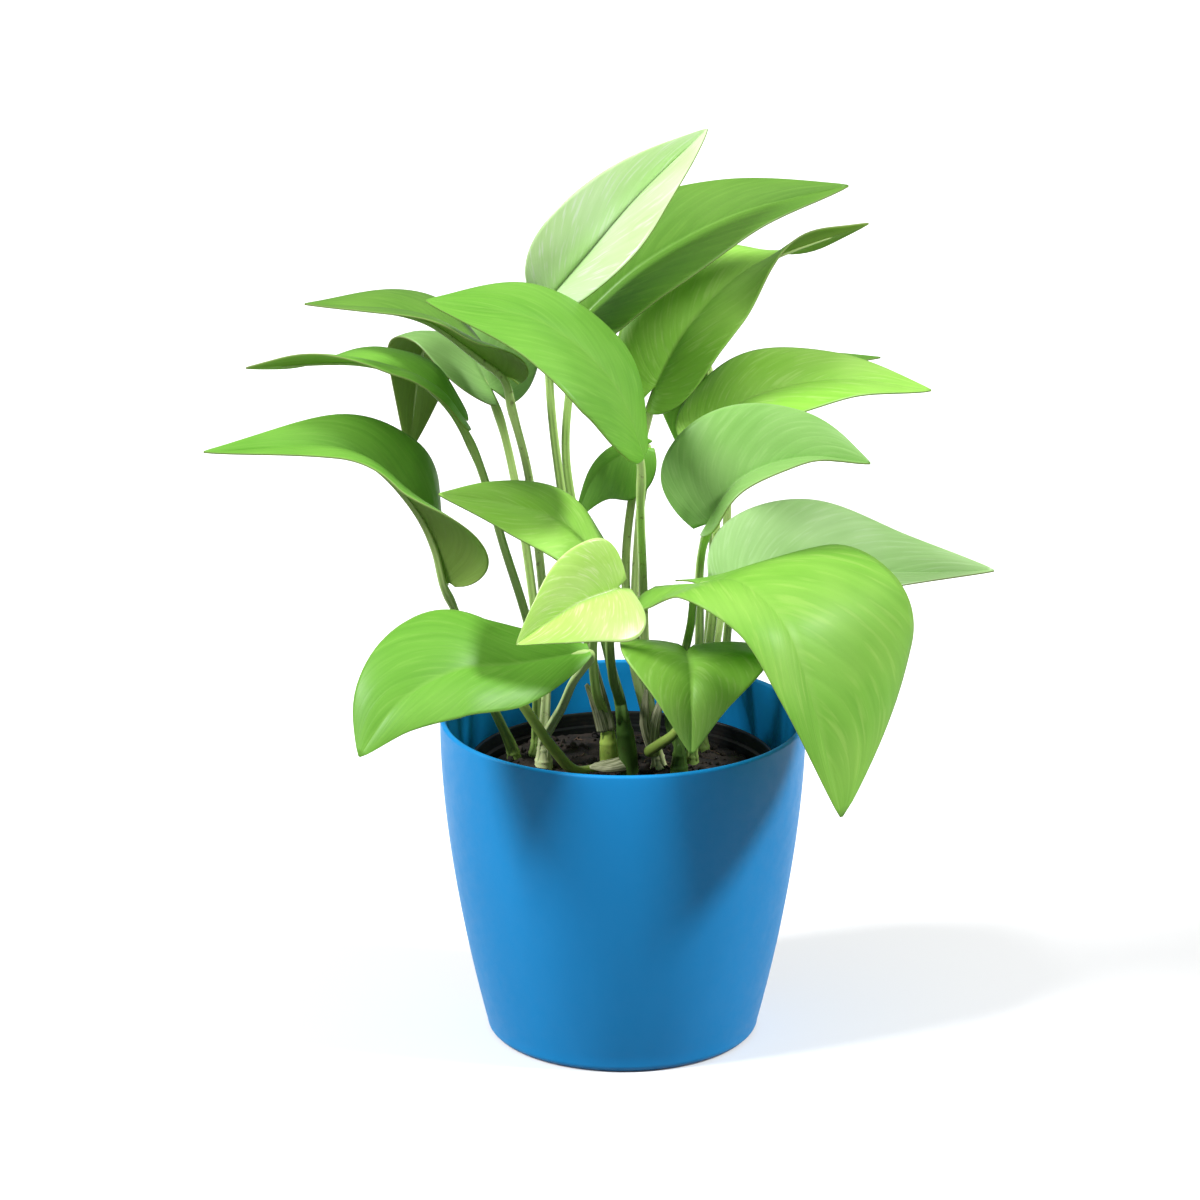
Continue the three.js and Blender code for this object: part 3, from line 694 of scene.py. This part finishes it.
# A blade's middling length and width, by which the patterns in its UV map get their size: streaks 3.5 mm wide
# and 20 mm long across the veins' run, and flecks of 2.3 by 8 mm.
BLADE_LENGTH = 91.0
BLADE_WIDTH = 52.0
STREAKS = (BLADE_LENGTH / 3.5, BLADE_WIDTH / 20.0, 1.0)
FLECKS = (BLADE_LENGTH / 2.333, BLADE_WIDTH / 8.0, 1.0)
VEIN_WANDER = 0.05
VEIN_TONE = 0.09
MIDRIB_TONE = 0.32


def vein_coordinates(tree):
    """How far out from the midrib, along the veins, and along the blade a point of the leaf lies."""
    uv = add_node(tree, "TexCoord").outputs["UV"]
    parts = add_node(tree, "SeparateXYZ", {"Vector": uv})
    centred = add_node(tree, "Math", {0: parts.outputs["X"], 1: 0.5}, operation="SUBTRACT")
    half = add_node(tree, "Math", {0: centred.outputs[0]}, operation="ABSOLUTE")
    out = add_node(tree, "Math", {0: half.outputs[0], 1: 2.0}, operation="MULTIPLY").outputs[0]
    slant = add_node(tree, "Math", {0: out, 1: -VEIN_SLANT, 2: parts.outputs["Y"]},
                     operation="MULTIPLY_ADD").outputs[0]
    return out, slant, centred.outputs[0]


def leaf_surface(name, body, deep, pale, flecks, vein, roughness, coat, relief, glow):
    """Living leaf: a waxy skin over green tissue, whose veins, streaks and pale flecks follow the blade. Glow is
    the share of the light that passes through. Relief is how far the veins stand up, or lie sunk below 0."""
    material, tree = new_material(name)
    out, slant, side = vein_coordinates(tree)
    place = add_node(tree, "TexCoord").outputs["Object"]
    along_veins = add_node(tree, "CombineXYZ", {"X": slant, "Y": side}).outputs[0]
    streak = add_node(tree, "Mapping", {"Vector": along_veins, "Scale": STREAKS}).outputs[0]
    streaks = add_node(tree, "TexNoise", {"Vector": streak, "Scale": 1.0, "Detail": 4.0})
    fleck = add_node(tree, "Mapping", {"Vector": along_veins, "Scale": FLECKS}).outputs[0]
    fleck_noise = add_node(tree, "TexNoise", {"Vector": fleck, "Scale": 1.0, "Detail": 2.0})
    clouds = add_node(tree, "TexNoise", {"Vector": place, "Scale": cells(31.25), "Detail": 2.0})
    grain = add_node(tree, "TexNoise", {"Vector": place, "Scale": cells(1.54), "Detail": 4.0})
    fleck_mask = add_node(tree, "MapRange", {
        "Value": fleck_noise.outputs["Fac"], "From Min": 0.55, "From Max": 0.68, "To Max": flecks})

    bent = add_node(tree, "Math", {
        0: clouds.outputs["Fac"], 1: VEIN_WANDER, 2: slant}, operation="MULTIPLY_ADD")
    wave = add_node(tree, "Math", {0: bent.outputs[0], 1: VEINS * math.tau}, operation="MULTIPLY")
    sine = add_node(tree, "Math", {0: wave.outputs[0]}, operation="SINE")
    ridge = add_node(tree, "MapRange", {"Value": sine.outputs[0], "From Min": 0.8, "From Max": 1.0})
    faint = add_node(tree, "Math", {0: ridge.outputs[0], 1: VEIN_TONE}, operation="MULTIPLY")
    midrib = add_node(tree, "MapRange", {
        "Value": out, "From Min": 0.012, "From Max": 0.05, "To Min": MIDRIB_TONE, "To Max": 0.0})
    margin = add_node(tree, "MapRange", {
        "Value": out, "From Min": 0.965, "From Max": 0.998, "To Max": 0.75})
    lines = add_node(tree, "Math", {0: faint.outputs[0], 1: midrib.outputs[0]}, operation="MAXIMUM")
    lines = add_node(tree, "Math", {0: lines.outputs[0], 1: margin.outputs[0]}, operation="MAXIMUM")

    darker = add_node(tree, "MapRange", {
        "Value": streaks.outputs["Fac"], "From Min": 0.4, "From Max": 0.65, "To Max": 0.38})
    lighter = add_node(tree, "MapRange", {
        "Value": clouds.outputs["Fac"], "From Min": 0.4, "From Max": 0.7, "To Max": 0.4})
    tone = linear(body)
    for mask, colour in ((darker, deep), (lighter, pale), (fleck_mask, pale), (lines, vein)):
        tone = add_node(tree, "Mix", {
            "Factor": mask.outputs[0], "A": tone, "B": linear(colour)}, data_type="RGBA").outputs["Result"]

    height = add_node(tree, "Math", {
        0: ridge.outputs[0], 1: relief, 2: grain.outputs["Fac"]}, operation="MULTIPLY_ADD")
    bump = add_node(tree, "Bump", {
        "Strength": 0.3, "Distance": 0.12 * MM, "Height": height.outputs[0]})
    wax = add_node(tree, "MapRange", {
        "Value": clouds.outputs["Fac"], "From Min": 0.3, "From Max": 0.75,
        "To Min": roughness - 0.06, "To Max": roughness + 0.08})
    skin = add_node(tree, "BsdfPrincipled", {
        "Base Color": tone, "Roughness": wax.outputs[0], "IOR": 1.45,
        "Specular IOR Level": 0.35, "Coat Weight": coat, "Coat Roughness": 0.3, "Normal": bump.outputs[0]})
    through = add_node(tree, "BsdfTranslucent", {"Color": tone, "Normal": bump.outputs[0]})
    both = add_node(tree, "MixShader", {0: glow, 1: skin.outputs[0], 2: through.outputs[0]})
    add_node(tree, "OutputMaterial", {"Surface": both.outputs[0]})
    return material


# Living leaf, as it grew. Upper faces are bright and waxy, with a soft shine and fine sunk veins; undersides are
# matt and olive, with raised veins. Young leaves are yellow-green, and one is pale and bluish. The top leaf's
# near-white tone is a painted sheen: it stands for the glossy reflection on that leaf. The light tone is a
# lighter copy of the fresh green, painted light on leaves that lie in the shade of others, and the deep tone is
# a darker copy, painted shade on leaves that lie in shade. The grain is drawn 1.5 mm wide, as real leaf cells
# are too fine to show.
LEAF_TONES = {
    "young": ("young_leaf_upper", "#BCEA72", "#A4DC54", "#E2F7AE", 0.6, "#DDF6A4", 0.3, 0.4, -0.5, 0.18),
    # Painted sheen: a near-white green that stands for the glossy reflection on the top leaf.
    "painted_sheen": ("sheen_painted_leaf_upper", "#CDF0AC", "#B8E48C", "#ECF9E4", 0.7, "#D6F2B8", 0.3, 0.5, -0.6, 0.18),
    # Painted light: a lighter copy of the fresh green, given to leaves that lie in the shade of others.
    "light": ("leaf_upper_painted_light", "#98D650", "#7EC23C", "#BEE880", 0.5, "#B0E074", 0.44, 0.15, -0.6, 0.2),
    "fresh": ("leaf_upper", "#7ABC42", "#62A432", "#94CE58", 0.35, "#94CA5C", 0.48, 0.1, -0.6, 0.3),
    "flecked": ("flecked_leaf_upper", "#8ACA4A", "#6EB036", "#AEDC68", 0.45, "#A0D65E", 0.52, 0.08, -0.6, 0.3),
    # Painted shade: a darker copy of the fresh green, given to leaves that lie in shade.
    "deep": ("leaf_upper_painted_shade", "#679A38", "#53842C", "#82B24A", 0.35, "#82B250", 0.46, 0.12, -0.6, 0.25),
    "dull": ("older_leaf_upper", "#80B45A", "#6CA046", "#A0C87C", 0.3, "#9CC87C", 0.44, 0.2, -0.5, 0.12),
    "pale": ("pale_leaf_upper", "#A8D488", "#8FC06E", "#C8E6B0", 0.35, "#C0E2A6", 0.38, 0.3, -0.8, 0.12),
}
UPPER_FACES = {tone: leaf_surface(*row) for tone, row in LEAF_TONES.items()}
leaf_underside = leaf_surface(
    "leaf_underside", "#C6E07C", "#B2CC6A", "#D4EC92", 0.2, "#C8D892", 0.55, 0.0, 0.8, 0.68)


def thickened(made, thickness):
    """Gives a sheet its thickness, half to each side. Its back and rim take a second material if it has one."""
    shell = made.modifiers.new("thickness", "SOLIDIFY")
    shell.thickness = thickness * MM
    shell.offset = 0.0
    shell.material_offset = 1
    shell.material_offset_rim = 1


def blade_piece(node, name, leaf, leaf_number):
    """Makes a leaf's blade, its upper face outwards on top, and gives back the curve of its midrib."""
    bm = bmesh.new()
    spine = blade(bm, leaf, leaf_number)
    bm.normal_update()
    centre, _, _, ((_, left_up), (_, right_up)) = blade_row(leaf, spine, WIDEST ** (1 / ROW_SPACING))
    middle = min(bm.faces, key=lambda f: (f.calc_center_median() - centre * MM).length_squared)
    if middle.normal.dot(left_up + right_up) < 0:
        bmesh.ops.reverse_faces(bm, faces=bm.faces)
    made = piece("leaf_" + name, bm, [UPPER_FACES[leaf["tone"]], leaf_underside], [node], sharp=180.0)
    thickened(made, BLADE_THICKNESS)
    return spine


# Every leaf stands on a juicy stalk, channelled along its upper side, with a knee below the blade. The stalk
# carries on under the blade as its midrib, in one piece.
STALK_RADIUS = 1.5
NECK_RADIUS = 1.2
STALK_GRID = (24, 96)
STALK_START = 9.0
STALK_FLARE = 0.5
CHANNEL_DEPTH = 0.3
CHANNEL_WIDTH = 0.45
WING_HEIGHT = 0.35
WING_WIDTH = 0.22
WING_TURN = 0.8
WING_END = 0.4
KNEE_SWELLING = 0.25
KNEE_AT = 0.93
KNEE_LENGTH = 0.04
RIB_POINTS = 8
RIB_REACH = 0.86
RIB_DEPTH = 0.3
RIB_THINNING = 0.82


def rib_point(leaf, spine, along):
    """A point of the midrib, under the blade."""
    centre, _, _, ((_, left_up), (_, right_up)) = blade_row(leaf, spine, along ** (1 / ROW_SPACING))
    up = (left_up + right_up).normalized()
    return centre - up * (NECK_RADIUS * (1 - along) ** 1.2 + RIB_DEPTH)


def channelled(angle, share):
    """A stalk's section: a groove down its upper side between two low wings, which run out at WING_END."""
    turn = min(angle, math.tau - angle)
    groove = CHANNEL_DEPTH * math.exp(-(turn / CHANNEL_WIDTH) ** 2)
    wings = max(0.0, 1 - share / WING_END) * WING_HEIGHT * math.exp(-((turn - WING_TURN) / WING_WIDTH) ** 2)
    return 1 - groove + wings


def bar_piece(name, node, material, sharp, *shape, **section):
    """A closed bar of the plant as a piece. What follows sharp is what tube asks for."""
    bm = bmesh.new()
    tube(bm, *shape, **section)
    bmesh.ops.recalc_face_normals(bm, faces=bm.faces)
    piece(name, bm, [material], [node], sharp)


def stalk_piece(node, name, bark, start, leaf, spine):
    """The stalk and, in one piece with it, the midrib under the blade."""
    ribs = [rib_point(leaf, spine, RIB_REACH * step / RIB_POINTS) for step in range(1, RIB_POINTS + 1)]
    neck = rib_point(leaf, spine, 0.0) - spine.tangent(0.0) * 0.5
    path = Curve(start + [Vector(p) for p in leaf["stalk"]] + [neck] + ribs)
    joint = min(range(0, 101), key=lambda i: (path.at(i / 100) - neck).length) / 100

    def radius_at(share):
        if share < joint:
            along = share / joint
            knee = KNEE_SWELLING * math.exp(-((along - KNEE_AT) / KNEE_LENGTH) ** 2)
            flare = STALK_FLARE * max(0.0, 1 - along * 6)
            return STALK_RADIUS + (NECK_RADIUS - STALK_RADIUS) * along + flare + knee
        return NECK_RADIUS * (1 - RIB_THINNING * (share - joint) / (1 - joint))

    bar_piece("stalk_" + name, node, STALK_SURFACES[bark], 180.0, path, radius_at, *STALK_GRID, channelled,
              face=(0, -1, 0.2))


# Living stalk: juicy and almost translucent, with a satin skin and fine lengthwise lines. Near the soil it
# turns to another tone with small brown scars. Their colour is the same on all stalks.
LINES_ROUND = 34.0
LINE_LENGTH = 33.3
SCAR_COLOUR = "#4A3B22"


def stalk_surface(name, light, shade, base_tone, speckle, base_height=118):
    """Leaf stalk or stem. Below base_height, in millimetres, it turns to its own tone with scars."""
    material, tree = new_material(name)
    coordinates = add_node(tree, "TexCoord")
    ribs = add_node(tree, "Mapping", {
        "Vector": coordinates.outputs["UV"], "Scale": (LINES_ROUND, UV_RUN / LINE_LENGTH, 1.0)}).outputs[0]
    lines = add_node(tree, "TexNoise", {"Vector": ribs, "Scale": 1.0, "Detail": 4.0})
    spots = add_node(tree, "TexNoise", {
        "Vector": coordinates.outputs["Object"], "Scale": cells(2.38), "Detail": 4.0, "Roughness": 0.65})
    height = add_node(tree, "SeparateXYZ", {"Vector": coordinates.outputs["Object"]})
    low = add_node(tree, "MapRange", {
        "Value": height.outputs["Z"], "From Min": 0.78 * base_height * MM, "From Max": base_height * MM,
        "To Min": 0.85, "To Max": 0.0})
    scars = add_node(tree, "MapRange", {
        "Value": spots.outputs["Fac"], "From Min": 0.6, "From Max": 0.72, "To Max": speckle})
    tone = add_node(tree, "Mix", {
        "Factor": lines.outputs["Fac"], "A": linear(light), "B": linear(shade)}, data_type="RGBA")
    tone = add_node(tree, "Mix", {
        "Factor": low.outputs[0], "A": tone.outputs["Result"], "B": linear(base_tone)}, data_type="RGBA")
    tone = add_node(tree, "Mix", {
        "Factor": scars.outputs[0], "A": tone.outputs["Result"], "B": linear(SCAR_COLOUR)}, data_type="RGBA")
    bump = add_node(tree, "Bump", {
        "Strength": 0.4, "Distance": 0.15 * MM, "Height": lines.outputs["Fac"]})
    skin = add_node(tree, "BsdfPrincipled", {
        "Base Color": tone.outputs["Result"], "Roughness": 0.42, "IOR": 1.42, "Subsurface Weight": 0.15,
        "Subsurface Radius": (0.4, 1.0, 0.2), "Subsurface Scale": 1.0 * MM, "Normal": bump.outputs[0]})
    add_node(tree, "OutputMaterial", {"Surface": skin.outputs[0]})
    return material


STALK_TONES = {
    "olive": ("leaf_stalk", "#BEDA86", "#A0C468", "#8AA656", 0.2),
    "dark": ("dark_leaf_stalk", "#B2D27C", "#94BA5C", "#456A26", 0.3, 134),
    "cream": ("cream_leaf_stalk", "#C4DC90", "#A8C672", "#C8D29C", 0.6),
    "young": ("young_leaf_stalk", "#BEDA86", "#A0C468", "#A8C65E", 0.2),
}
STALK_SURFACES = {bark: stalk_surface(*row) for bark, row in STALK_TONES.items()}

# The stems are short and thicker, ringed by the scars of fallen leaves, and rooted in the soil. A stub is what
# is left of a stalk that was cut off, healed and rounded at its end.
STEM_RADIUS = 2.9
STEM_GRID = (24, 70)
STEM_SCARS = (0.73, 0.86)
STEM_SCAR_HEIGHT = 0.22
STEM_SCAR_WIDTH = 0.014
STUB_RADIUS = 1.8
STUB_GRID = (20, 60)
ROOT_DEPTH = 20.0


def stem_radius(share):
    """Swollen a little at each old leaf scar, and drawn in at the top, where the stalks part."""
    rings = sum(math.exp(-((share - at) / STEM_SCAR_WIDTH) ** 2) for at in STEM_SCARS)
    drawn_in = 1 - 0.4 * smooth_step(share, 0.6, 0.95)
    tip = math.sqrt(max(1 - max(0.0, (share - 0.9) / 0.1) ** 2, 0.0))
    return (STEM_RADIUS * drawn_in + STEM_SCAR_HEIGHT * rings) * (0.25 + 0.75 * tip)


def stub_radius(share):
    """Even along the stub, and rounded off at its healed end."""
    tip = math.sqrt(max(1 - max(0.0, (share - 0.93) / 0.07) ** 2, 0.0))
    return STUB_RADIUS * (1 - 0.2 * share) * (0.3 + 0.7 * tip)


# Stem bark: green and fleshy, like the stalks but darker and more scarred, or cream-coloured where it grew in
# the dark under older leaves. A cut stub has dried to a pale yellow-green.
STEM_TONES = {
    "olive": ("olive_stem", "#93AD62", "#768F46", "#6E8A42", 0.5),
    "dark": ("dark_stem", "#557A30", "#436526", "#456528", 0.5),
    "cream": ("cream_stem", "#D2DCA8", "#B8C88A", "#C4CE98", 1.0),
    "young": ("young_stem", "#C8E07A", "#B0D060", "#C0DC66", 0.3),
}
STEM_SURFACES = {bark: stalk_surface(*row) for bark, row in STEM_TONES.items()}
cut_stub = stalk_surface("cut_stub", "#B6CC6C", "#9CB854", "#8CA64A", 0.4)

# Dry sheaths still cling to three of the stems: what is left of the papery leaf base that once wrapped a young
# stalk. Each is a thin trough with a ragged edge that ends in a point.
SHEATH_RADIUS = 2.6
SHEATH_SPREAD = 1.2
SHEATH_RAGGED = 0.35
SHEATH_THICKNESS = 0.35
SHEATH_ROWS = 24
SHEATH_COLUMNS = 12
SHEATH_STRIPES = (16.0, 1.2, 1.0)


def add_sheath(bm, sheath):
    """A dry sheath: a papery trough along its path that opens away from its face and ends in a point."""
    spine = Curve(sheath["path"])
    for vert in flat_grid(bm, SHEATH_ROWS, SHEATH_COLUMNS):
        share = vert.co.x + 0.5
        tangent = spine.tangent(share)
        across = tangent.cross(Vector(sheath["face"])).normalized()
        outwards = across.cross(tangent)
        angle = SHEATH_SPREAD * (1 - 0.85 * share * share) * vert.co.y * 2
        ragged = SHEATH_RAGGED * noise.noise(Vector((share * 9, vert.co.y * 6, 3.3))) * share
        reach = SHEATH_RADIUS + ragged
        vert.co = (spine.at(share) + across * reach * math.sin(angle)
                   + outwards * (reach * (math.cos(angle) - 1) + ragged)) * MM


# Dried leaf sheath: matt, straw-coloured and papery, with green and whitish stripes 0.4 mm wide along it.
dry_sheath, tree = new_material("dry_papery_sheath")
uv = add_node(tree, "TexCoord").outputs["UV"]
stripes = add_node(tree, "Mapping", {"Vector": uv, "Scale": SHEATH_STRIPES}).outputs[0]
stripe = add_node(tree, "TexNoise", {"Vector": stripes, "Scale": 1.0, "Detail": 3.0})
tone = add_node(tree, "ValToRGB", {"Fac": stripe.outputs["Fac"]})
tone.color_ramp.elements[0].position = 0.36
tone.color_ramp.elements[0].color = linear("#5C6638")
tone.color_ramp.elements[1].position = 0.66
tone.color_ramp.elements[1].color = linear("#D9D8B4")
bump = add_node(tree, "Bump", {
    "Strength": 0.6, "Distance": 0.2 * MM, "Height": stripe.outputs["Fac"]})
skin = add_node(tree, "BsdfPrincipled", {
    "Base Color": tone.outputs["Color"], "Roughness": 0.7, "Normal": bump.outputs[0]})
add_node(tree, "OutputMaterial", {"Surface": skin.outputs[0]})

# The stems are put together one by one: each leaf's blade and stalk, then the stem that they stand on, with
# its stubs and sheaths. All of them stand for the stem's one node.
leaf_number = 0
for stem_name, stem in LEAFY_STEMS.items():
    bark = stem.get("bark", "olive")
    top = Vector(stem["top"])
    lowered = (top - Vector((*stem["foot"], SOIL_TOP))) * min(STALK_START / (top.z - SOIL_TOP), 1.0)
    node = "leafy_stem_" + stem_name
    for name, leaf in stem["leaves"].items():
        leaf_number += 1
        spine = blade_piece(node, name, leaf, leaf_number)
        stalk_piece(node, name, bark, [top - lowered, top - lowered * 0.2], leaf, spine)
    foot = Vector((*stem["foot"], SOIL_TOP - ROOT_DEPTH))
    path = Curve([foot, Vector((*stem["foot"], SOIL_TOP)), top + Vector((0, 0, 1))])
    bar_piece("stem_" + stem_name, node, STEM_SURFACES[bark], 60.0, path, stem_radius, *STEM_GRID)
    for count, stub in enumerate(stem.get("stubs", [])):
        bar_piece(f"stub_{stem_name}_{count + 1}", node, cut_stub, 50.0, Curve(stub), stub_radius, *STUB_GRID)
    for count, sheath in enumerate(stem.get("sheaths", [])):
        bm = bmesh.new()
        add_sheath(bm, sheath)
        made = piece(f"sheath_{stem_name}_{count + 1}", bm, [dry_sheath], [node], sharp=180.0)
        thickened(made, SHEATH_THICKNESS)

# The floor is a plain sheet of white matt paper that the pot stands on. It looks white, but the light that it
# throws back up is that of a grey sheet, so undersides and pot keep the depth that they have in the photograph.
FLOOR_HALF = 4.0
floor_bm = bmesh.new()
bmesh.ops.create_grid(floor_bm, x_segments=2, y_segments=2, size=FLOOR_HALF)
floor_mesh = bpy.data.meshes.new("paper_floor")
floor_bm.to_mesh(floor_mesh)
floor_bm.free()
floor = bpy.data.objects.new("paper_floor", floor_mesh)
bpy.context.scene.collection.objects.link(floor)
paper, tree = new_material("white_matt_paper")
place = add_node(tree, "TexCoord").outputs["Object"]
fibre = add_node(tree, "TexNoise", {"Vector": place, "Scale": cells(1.11), "Detail": 3.0})
bump = add_node(tree, "Bump", {
    "Strength": 0.05, "Distance": 0.05 * MM, "Height": fibre.outputs["Fac"]})
bounced = add_node(tree, "LightPath").outputs["Is Diffuse Ray"]
white = add_node(tree, "Mix", {
    "Factor": bounced, "A": linear("#F4F4F4"), "B": linear("#545454")}, data_type="RGBA")
skin = add_node(tree, "BsdfPrincipled", {
    "Base Color": white.outputs["Result"], "Roughness": 0.9, "Normal": bump.outputs[0]})
add_node(tree, "OutputMaterial", {"Surface": skin.outputs[0]})
floor_mesh.materials.append(paper)

# Soft studio light: a white surround, two large soft lights to the left and right in front, and a weak one from
# above. Under the front leaves the shadows of the two meet on the pot in a dark V.
SURROUND_LIGHT = 0.3
world = bpy.data.worlds.new("studio")
bpy.context.scene.world = world
world.use_nodes = True
world_tree = world.node_tree
world_tree.nodes.clear()
ray = add_node(world_tree, "LightPath").outputs["Is Camera Ray"]
seen = add_node(world_tree, "MapRange", {"Value": ray, "To Min": SURROUND_LIGHT, "To Max": 1.0})
surround = add_node(world_tree, "Background", {
    "Color": (1.0, 1.0, 1.0, 1.0), "Strength": seen.outputs[0]})
add_node(world_tree, "OutputWorld", {"Surface": surround.outputs[0]})
TARGET = Vector((0.0, 0.0, 0.13))


def soft_light(name, azimuth, elevation, spread, strength):
    """A far soft light: a sun as wide as its spread, turned towards the plant. Azimuth 0 is in front, and 90 on
    the right. All three are in degrees."""
    data = bpy.data.lights.new(name, "SUN")
    data.angle = math.radians(spread)
    data.energy = strength
    made = bpy.data.objects.new(name, data)
    turn, lift = math.radians(azimuth), math.radians(elevation)
    way = Vector((math.sin(turn) * math.cos(lift), -math.cos(turn) * math.cos(lift), math.sin(lift)))
    made.location = TARGET + way
    made.rotation_euler = way.to_track_quat("Z", "Y").to_euler()
    bpy.context.scene.collection.objects.link(made)


soft_light("left_window", -66, 42, 16, 3.9)
soft_light("right_window", 75, 42, 12, 3.2)
soft_light("top_light", 0, 78, 40, 0.2)

# The camera stands 1.6 m in front and looks down a little, as in the photograph, and its lens fills the square
# picture with the plant to the same measure.
CAMERA_DISTANCE = 1600.0
CAMERA_TILT = 17.55
CAMERA_AIM = Vector((-6.9, 0.0, 135.5))
CAMERA_LENS = 160.7
camera_data = bpy.data.cameras.new("camera")
camera_data.lens = CAMERA_LENS
camera_data.sensor_width = 36.0
camera = bpy.data.objects.new("camera", camera_data)
tilt = math.radians(CAMERA_TILT)
back = Vector((0.0, -math.cos(tilt), math.sin(tilt)))
camera.location = (CAMERA_AIM + CAMERA_DISTANCE * back) * MM
camera.rotation_euler = (math.pi / 2 - tilt, 0.0, 0.0)
bpy.context.scene.collection.objects.link(camera)
bpy.context.scene.camera = camera
bpy.context.scene.view_settings.view_transform = "Standard"
